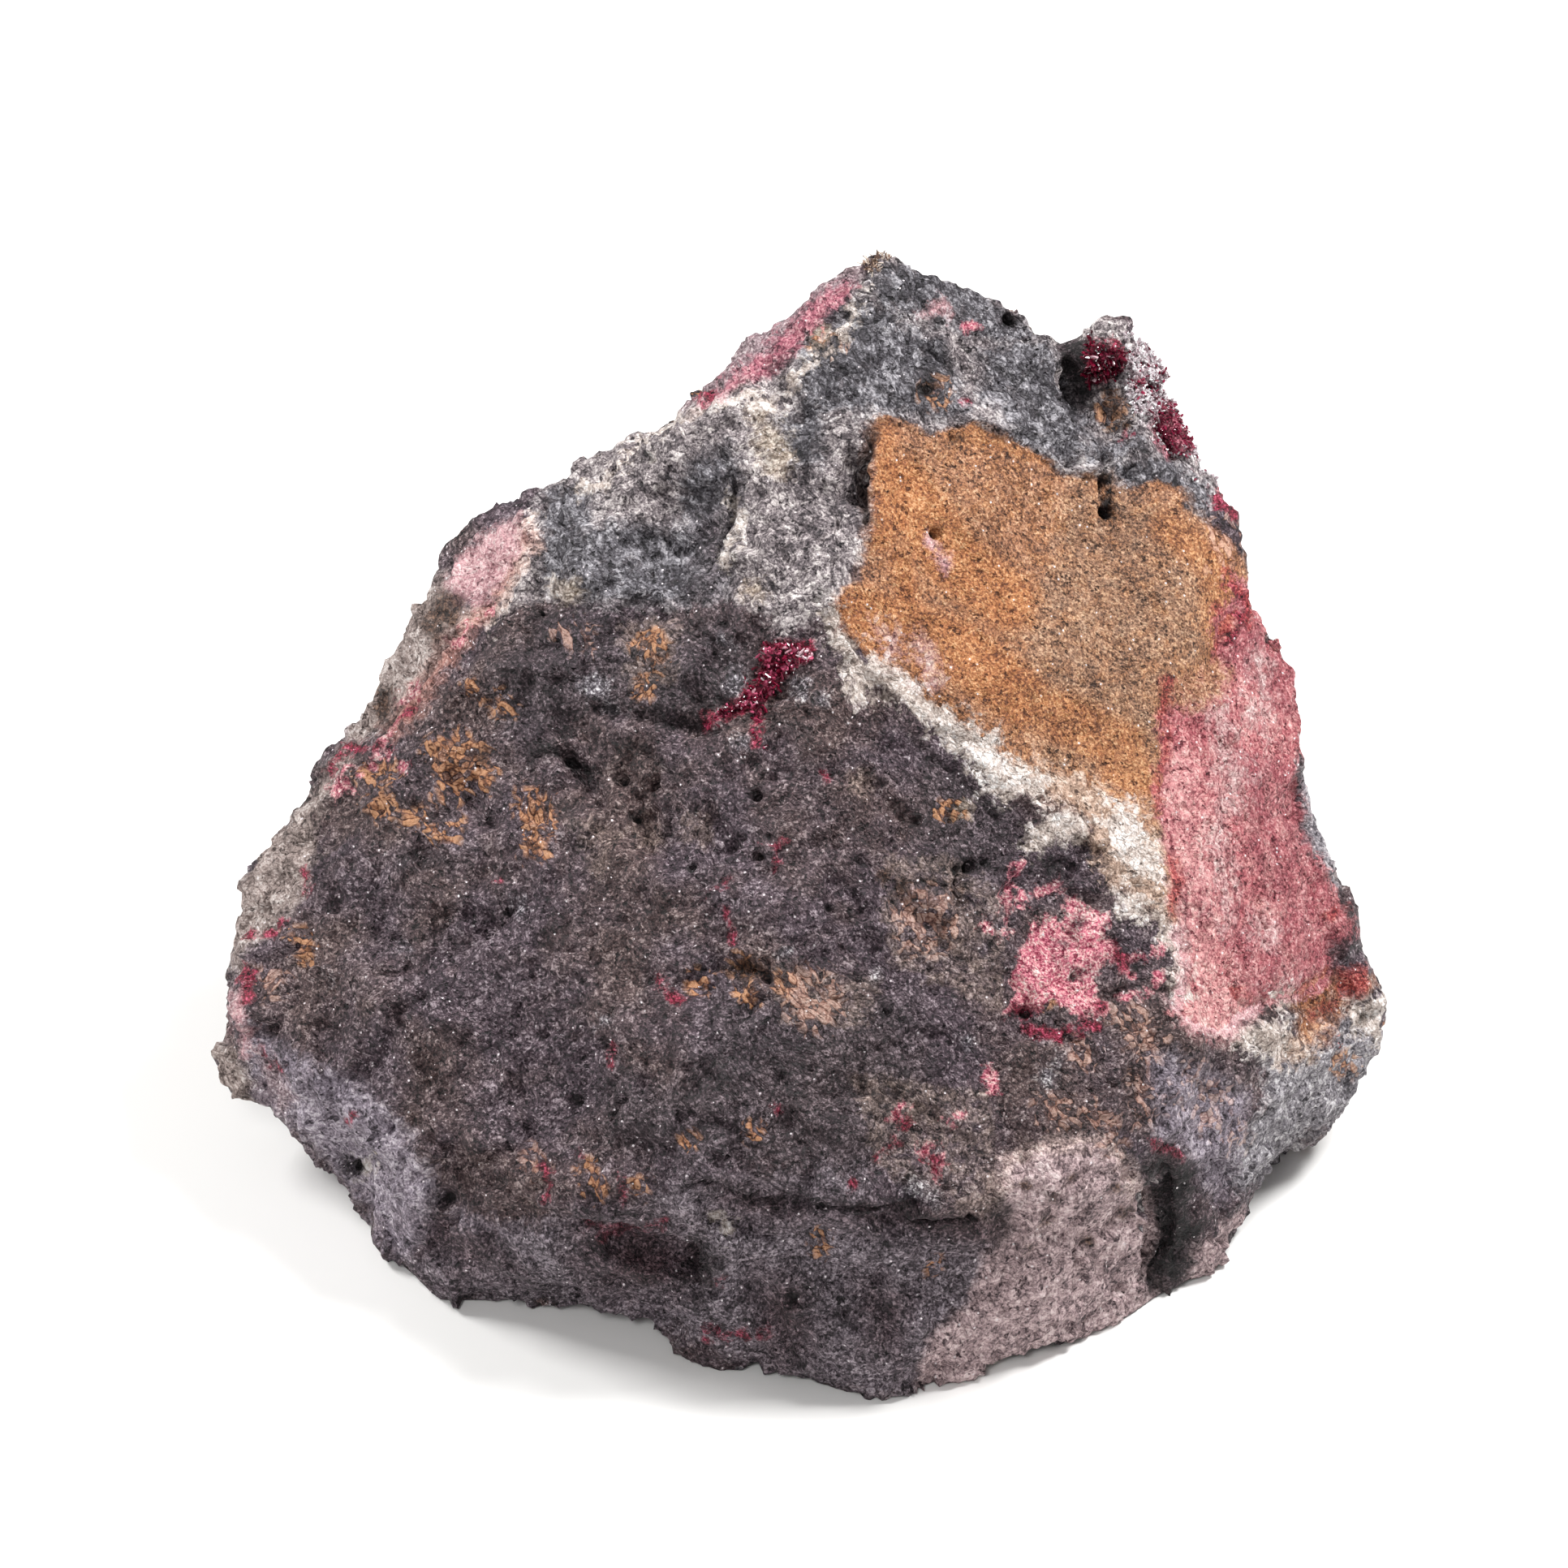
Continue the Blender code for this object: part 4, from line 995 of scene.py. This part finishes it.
    patches = spread(cloud, 0.42, 0.62, 0.0, 0.7)
    dull = patterns[baseKind]
    colour = mixed(patches, tones(baseTones[0], dull), tones(baseTones[1], dull))
    for tint in tintNames:
        codes, edge, soft, strength, kind = stoneTints[tint]
        field = addNode(tree, "ShaderNodeAttribute", attribute_name=tint).outputs["Fac"]
        moved = compute("MULTIPLY_ADD", edges[kind], edge * 2, field)
        mask = spread(moved, edge - soft, edge + soft, 0.0, strength)
        colour = mixed(mask, colour, tones(codes, patterns[kind]))
    # painted highlights: a few grains coloured white as glints
    rare, wide = stoneLook["paintedGlints"]
    chosen = compute("GREATER_THAN", grainTone, 1 - rare)
    paintedGlint = compute("MULTIPLY", chosen, compute("LESS_THAN", grain.outputs["Distance"], wide))
    colour = mixed(paintedGlint, colour, hexColour(stoneLook["paintedGlintTone"]))
    tree.links.new(colour, shader.inputs["Base Color"])

    # relief finer than the mesh, in metres: tilted crystal faces, laths, grains and fibres
    def tilted(cells, where, slope):
        fromMiddle = addNode(tree, "ShaderNodeVectorMath", {0: where, 1: cells.outputs["Position"]}, operation="SUBTRACT").outputs[0]
        lean = addNode(tree, "ShaderNodeVectorMath", {0: cells.outputs["Color"], 1: (0.5, 0.5, 0.5)}, operation="SUBTRACT").outputs[0]
        dot = addNode(tree, "ShaderNodeVectorMath", {0: fromMiddle, 1: lean}, operation="DOT_PRODUCT").outputs["Value"]
        return compute("MULTIPLY", dot, slope)

    rise = compute("ADD", tilted(grain, place, stoneLook["grainSlope"]), tilted(lath, apart, stoneLook["lathSlope"]))
    rise = compute("ADD", rise, tilted(domain, bent, stoneLook["domainSlope"]))
    for texture, height in ((speckle, "speckleRise"), (hollow, "pitRise"), (fibre, "fibreRise"), (mottle, "mottleRise"), (gap, "gapRise")):
        rise = compute("MULTIPLY_ADD", texture, stoneLook[height] * mm, rise)
    bump = addNode(tree, "ShaderNodeBump", {"Height": rise, "Strength": 1.0, "Distance": 1.0})
    tree.links.new(bump.outputs["Normal"], shader.inputs["Normal"])
    tree.links.new(spread(grainTone, 0.9, 0.94, 0.62, 0.2), shader.inputs["Roughness"])
    shader.inputs["Specular IOR Level"].default_value = 0.35
    return made


stone = makeStone()


# Crusts: each is a sheet over the stone's own surface where its solid lies, thinning out at its edge
crusts = {
    "side_crust": {
        "name": "pinkSideCrust",
        "within": "raspberry",
        "reach": 1.1,
        "thick": 0.4,
        "taper": 1.6,
        "grains": (0.45, 0.16),
    },
    "pocket_druse": {
        "name": "pocketDruse",
        "within": "lining",
        "beyond": 0.3,
        "reach": 1.0,
        "thick": 0.2,
        "taper": 0.6,
        "grains": (0.5, 0.25),
    },
    "edge_druse": {
        "name": "edgeDruse",
        "within": "frosted",
        "reach": 0.9,
        "thick": 0.3,
        "taper": 0.8,
        "grains": (0.5, 0.2),
    },
    "seam_druse": {
        "name": "seamDruse",
        "within": "seam",
        "beyond": 0.3,
        "reach": 1.0,
        "thick": 0.1,
        "taper": 0.5,
        "grains": (0.5, 0.2),
    },
}


def centresOf(item):
    centres = np.empty(len(item.data.polygons) * 3)
    item.data.polygons.foreach_get("center", centres)
    return centres.reshape(-1, 3)


def facingsOf(item):
    facings = np.empty(len(item.data.polygons) * 3)
    item.data.polygons.foreach_get("normal", facings)
    return facings.reshape(-1, 3)


def coveredBy(item, node, look):  # which faces lie by that CAD node and, where seen, within the marks
    centres = centresOf(item)
    field = markField(picturePlaces(centres), stoneMarks[look["within"]])
    hidden = facingsOf(item) @ forward > -0.05
    ragged = np.array([noise.fractal(Vector(c) / (2.0 * mm), 0.8, 2.0, 2) for c in centres])
    near = distanceTo(node, centres) < look["reach"] * mm * np.where(hidden, 1 + 0.8 * ragged, 1)
    return near & ((hidden & (field > -look.get("beyond", 200))) | (field > 0))


def makeCrust(node, look):
    crust = bpy.data.objects.new(look["name"], stone.data.copy())
    bpy.context.scene.collection.objects.link(crust)
    crust.data.materials.clear()
    selectOnly(crust)
    covered = coveredBy(crust, node, look)
    bpy.ops.object.mode_set(mode="EDIT")
    bpy.ops.mesh.select_mode(type="FACE")
    bpy.ops.mesh.select_all(action="DESELECT")
    bpy.ops.object.mode_set(mode="OBJECT")
    crust.data.polygons.foreach_set("select", ~covered)
    bpy.ops.object.mode_set(mode="EDIT")
    bpy.ops.mesh.delete(type="FACE")
    bpy.ops.mesh.select_all(action="SELECT")
    bpy.ops.mesh.subdivide(number_cuts=1, smoothness=1.0)
    bpy.ops.mesh.select_all(action="DESELECT")
    bpy.ops.mesh.select_mode(type="EDGE")
    bpy.ops.mesh.select_non_manifold()
    bpy.ops.object.mode_set(mode="OBJECT")
    points = pointsOf(crust)
    rim = [vertex.co.copy() for vertex in crust.data.vertices if vertex.select]
    tree = KDTree(len(rim))
    for i, place in enumerate(rim):
        tree.insert(place, i)
    tree.balance()
    inset = np.array([tree.find(vertex.co)[2] for vertex in crust.data.vertices])
    grainSize, grainHeight = look["grains"]
    grains = np.array([noise.noise(Vector(point) / (grainSize * mm)) for point in points])
    rise = (smooth(inset, 0, look["taper"] * mm) * (look["thick"] + 0.1) - 0.1 + grains * grainHeight) * mm
    movePoints(crust, points + normalsOf(crust) * rise[:, None])
    applyModifier(crust, "SOLIDIFY", thickness=0.3 * mm, offset=-1.0)
    bpy.ops.object.shade_smooth()
    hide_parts(node)
    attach(crust, "root")
    print(look["name"] + ":", len(crust.data.polygons), "faces")
    return crust


# Erythrite crystals: small flat blades with chisel tips, glassy and clear enough to glow crimson, with
# a bright glint where a blade's side meets the light
crystalLook = {
    "pocket_druse": {"count": 260, "length": (0.3, 0.8), "width": (0.1, 0.24), "spread": 1.1, "seed": 3},
    "seam_druse": {"count": 300, "length": (0.25, 0.6), "width": (0.08, 0.22), "spread": 1.4, "seed": 5},
    "edge_druse": {"count": 1700, "length": (0.18, 0.42), "width": (0.07, 0.18), "spread": 1.6, "seed": 7},
}

# A small tuft of pale brown needles on the peak
tuftLook = {
    "where": {"spots": [(1078, 318, 17)]},
    "count": 150,
    "length": (0.3, 0.75),
    "width": (0.04, 0.09),
    "spread": 0.9,
    "seed": 11,
}


def makeBlade():  # one crystal, a unit long and wide, standing on the origin
    bpy.ops.object.select_all(action="DESELECT")
    bpy.ops.mesh.primitive_cylinder_add(vertices=6, radius=0.5, depth=1.0, location=(0, 0, 0.5))
    blade = bpy.context.object
    blade.name = "bladeCrystal"
    bpy.ops.object.transform_apply(location=True, rotation=False, scale=False)
    bpy.ops.object.mode_set(mode="EDIT")
    bpy.ops.mesh.select_mode(type="FACE")
    bpy.ops.mesh.select_all(action="DESELECT")
    bpy.ops.object.mode_set(mode="OBJECT")
    for face in blade.data.polygons:
        face.select = face.center.z > 0.99
    bpy.ops.object.mode_set(mode="EDIT")
    bpy.ops.mesh.extrude_region_move(TRANSFORM_OT_translate={"value": (0, 0, 0.3)})
    bpy.ops.transform.resize(value=(0.12, 0.75, 1.0))
    bpy.ops.object.mode_set(mode="OBJECT")
    return blade


def growCrystals(name, ground, look, blade):  # blades joined into one piece over the ground's outer faces
    chance = random.Random(look["seed"])
    faces = list(ground.data.polygons)
    if "where" in look:
        field = markField(picturePlaces(centresOf(ground)), look["where"])
        faces = [face for face, inset in zip(faces, field) if inset > 0]
    faces = [face for face in faces if face.normal.dot(outwardAt(face.center)) > 0.3]
    picked = chance.choices(faces, weights=[face.area for face in faces], k=look["count"])
    shape = bmesh.new()
    shade = shape.verts.layers.float.new("shade")
    for face in picked:
        way = face.normal + Vector([chance.uniform(-1, 1) * look["spread"] for axis in range(3)])
        length = chance.uniform(*look["length"]) * mm
        width = chance.uniform(*look["width"]) * mm
        turn = way.to_track_quat("Z", "Y").to_matrix().to_4x4() @ Matrix.Rotation(chance.uniform(0, math.tau), 4, "Z")
        size = Matrix.Diagonal((width * 2.0, width, length, 1.0))
        start = Matrix.Translation(face.center - way.normalized() * length * 0.25)
        grown = blade.data.copy()
        grown.transform(start @ turn @ size)
        before = len(shape.verts)
        shape.from_mesh(grown)
        bpy.data.meshes.remove(grown)
        shape.verts.ensure_lookup_table()
        tone = look["tone"](face, chance)
        for vertex in shape.verts[before:]:
            vertex[shade] = tone
    mesh = bpy.data.meshes.new(name)
    shape.to_mesh(mesh)
    shape.free()
    crystals = bpy.data.objects.new(name, mesh)
    bpy.context.scene.collection.objects.link(crystals)
    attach(crystals, "root")
    print(name + ":", look["count"], "crystals")
    return crystals


def frostTone(face, chance):  # crimson blades within the red marks and here and there outside them
    place = picturePlaces(np.array([face.center]))
    red = markField(place, stoneMarks["redFrost"])[0] > chance.uniform(-0.5, 0.9)
    return chance.uniform(0, 0.3) if red or chance.random() < 0.12 else chance.uniform(0.5, 1)


def seamTone(face, chance):  # blades coloured near white at the seam's two bright spots and here and there: painted highlights
    place = picturePlaces(np.array([face.center]))
    bright = markField(place, {"spots": [(992, 806, 12), (934, 915, 6)]})[0] > chance.uniform(-0.3, 0.8)
    return chance.uniform(0.85, 1) if bright or chance.random() < 0.04 else chance.uniform(0.05, 0.75)


def pocketTone(face, chance):  # dark crimson with few glints
    return 0.9 if chance.random() < 0.03 else chance.uniform(0, 0.5)


def tuftTone(face, chance):
    return chance.random()


crystalLook["edge_druse"]["tone"] = frostTone
crystalLook["seam_druse"]["tone"] = seamTone
crystalLook["pocket_druse"]["tone"] = pocketTone
tuftLook["tone"] = tuftTone


def outwardAt(place):  # the stone's outward direction at a place
    return stoneTree.find_nearest(place)[1]


def crystalMaterial(name, codes, clearness):
    made = bpy.data.materials.new(name)
    made.use_nodes = True
    tree = made.node_tree
    shader = tree.nodes["Principled BSDF"]
    shade = addNode(tree, "ShaderNodeAttribute", attribute_name="shade").outputs["Fac"]
    ramp = addNode(tree, "ShaderNodeValToRGB", {"Fac": shade})
    ramp.color_ramp.elements[0].color = hexColour(codes[0])
    ramp.color_ramp.elements[1].color = hexColour(codes[-1])
    for i, code in enumerate(codes[1:-1], 1):
        ramp.color_ramp.elements.new(i / (len(codes) - 1)).color = hexColour(code)
    tree.links.new(ramp.outputs["Color"], shader.inputs["Base Color"])
    shader.inputs["Roughness"].default_value = 0.12
    shader.inputs["IOR"].default_value = 1.65
    shader.inputs["Transmission Weight"].default_value = clearness
    return made


def thinOut(item):  # fewer faces where the picture doesn't show the stone
    away = item.vertex_groups.new(name="turnedAway")
    for i, share in enumerate(1 - smooth(-(normalsOf(item) @ forward), *stoneRelief["turnedAway"])):
        away.add([i], float(share), "REPLACE")
    count = sum(len(face.vertices) - 2 for face in item.data.polygons)
    applyModifier(item, "DECIMATE", ratio=stoneRelief["triangles"] / count, vertex_group=away.name)
    item.vertex_groups.clear()
    points = pointsOf(item)
    points[:, 2] = np.maximum(points[:, 2], 0)
    movePoints(item, points)
    print("stone:", sum(len(face.vertices) - 2 for face in item.data.polygons), "triangles of", count)


stoneTree = BVHTree.FromPolygons(pointsOf(stone).tolist(), [p.vertices[:] for p in stone.data.polygons])
crustTones = (["#5a1824", "#a3525a", "#c07b7c", "#dfaeab"], ["#6e2c34", "#b87a7a", "#d3a29c", "#edd0c8"])
pinkTints = ["rosy", "wine", "ochre", "streak", "rust", "fringeAndRimHighlight", "crimson", "redLine"]
pinkRock = rockMaterial("granularPinkErythrite", crustTones, pinkTints, (0.05, -0.62, -0.78), 2.4, "streaky")
druseTones = (["#1c0209", "#4a0a1e", "#7d1434", "#b84468"], ["#22040c", "#5a0c26", "#8c1c3e", "#c86a86"])
crimsonGround = rockMaterial("crimsonErythriteGround", druseTones, [], (0.0, 0.0, 1.0), 2.0)
edgeTones = (["#2c2025", "#6c5a60", "#a78f96", "#ece0e2"], ["#33262b", "#7a666c", "#b39da3", "#f2eaeb"])
edgeGround = rockMaterial("whiteDruseGround", edgeTones, ["redFrost"], (0.0, 0.0, 1.0), 2.0)
bladeTones = ["#22020a", "#560720", "#8a1235", "#d9688a", "#fff0f4"]
crimsonCrystal = crystalMaterial("crimsonErythriteBlades", bladeTones, 0.2)
whiteCrystal = crystalMaterial("whiteAndCrimsonBlades", ["#4a0a1e", "#9a2448", "#ad949b", "#dfd6da", "#ffffff"], 0.3)
grounds = {"side_crust": pinkRock, "pocket_druse": crimsonGround, "seam_druse": crimsonGround, "edge_druse": edgeGround}
blade = makeBlade()
for node, look in crusts.items():
    crust = makeCrust(node, look)
    crust.data.materials.append(grounds[node])
    if node in crystalLook:
        crystals = growCrystals(look["name"] + "Blades", crust, crystalLook[node], blade)
        crystals.data.materials.append(whiteCrystal if node == "edge_druse" else crimsonCrystal)
tuft = growCrystals("peakTuft", stone, tuftLook, blade)
thinOut(stone)
tuft.data.materials.append(crystalMaterial("paleBrownNeedles", ["#5e4436", "#a98e7d", "#e6dace"], 0.1))
bpy.data.objects.remove(blade)


# Stage: a pale floor, a large soft light from the right and behind, one from the left and behind, and
# a weak one from the front
stageLook = {
    "floor": "#f2f1ef",
    "world": 0.24,
    "lights": {
        "keyRight": ((220, 60, 360), 120, 2.25),
        "backLeft": ((-300, 120, 260), 140, 1.5),
        "frontFill": ((-120, -380, 420), 160, 1.0),
    },
}


def makeStage():
    bpy.ops.object.select_all(action="DESELECT")
    bpy.ops.mesh.primitive_plane_add(size=6.0)
    floor = bpy.context.object
    floor.name = "paleFloor"
    paint = bpy.data.materials.new("paleMattBoard")
    paint.use_nodes = True
    shader = paint.node_tree.nodes["Principled BSDF"]
    shader.inputs["Base Color"].default_value = hexColour(stageLook["floor"])
    shader.inputs["Roughness"].default_value = 0.9
    shader.inputs["Specular IOR Level"].default_value = 0.2
    floor.data.materials.append(paint)
    for name, (place, size, power) in stageLook["lights"].items():
        bpy.ops.object.light_add(type="AREA", location=Vector(place) * mm)
        light = bpy.context.object
        light.name = name
        light.data.size = size * mm
        light.data.energy = power
        aim = Vector((0, 0, 30 * mm)) - light.location
        light.rotation_euler = aim.to_track_quat("-Z", "Y").to_euler()
    world = bpy.data.worlds.new("paleRoom")
    world.use_nodes = True
    world.node_tree.nodes["Background"].inputs["Color"].default_value = (1, 1, 1, 1)
    world.node_tree.nodes["Background"].inputs["Strength"].default_value = stageLook["world"]
    bpy.context.scene.world = world
    bpy.ops.object.camera_add(location=Vector(eye))
    camera = bpy.context.object
    camera.rotation_euler = Vector(forward).to_track_quat("-Z", "Y").to_euler()
    camera.data.lens = viewpoint["lens"]
    camera.data.sensor_width = viewpoint["sensor"]
    camera.data.clip_start = 0.01
    camera.data.clip_end = 10.0
    bpy.context.scene.camera = camera
    bpy.context.scene.view_settings.view_transform = "Standard"
    print("stage ready")


makeStage()
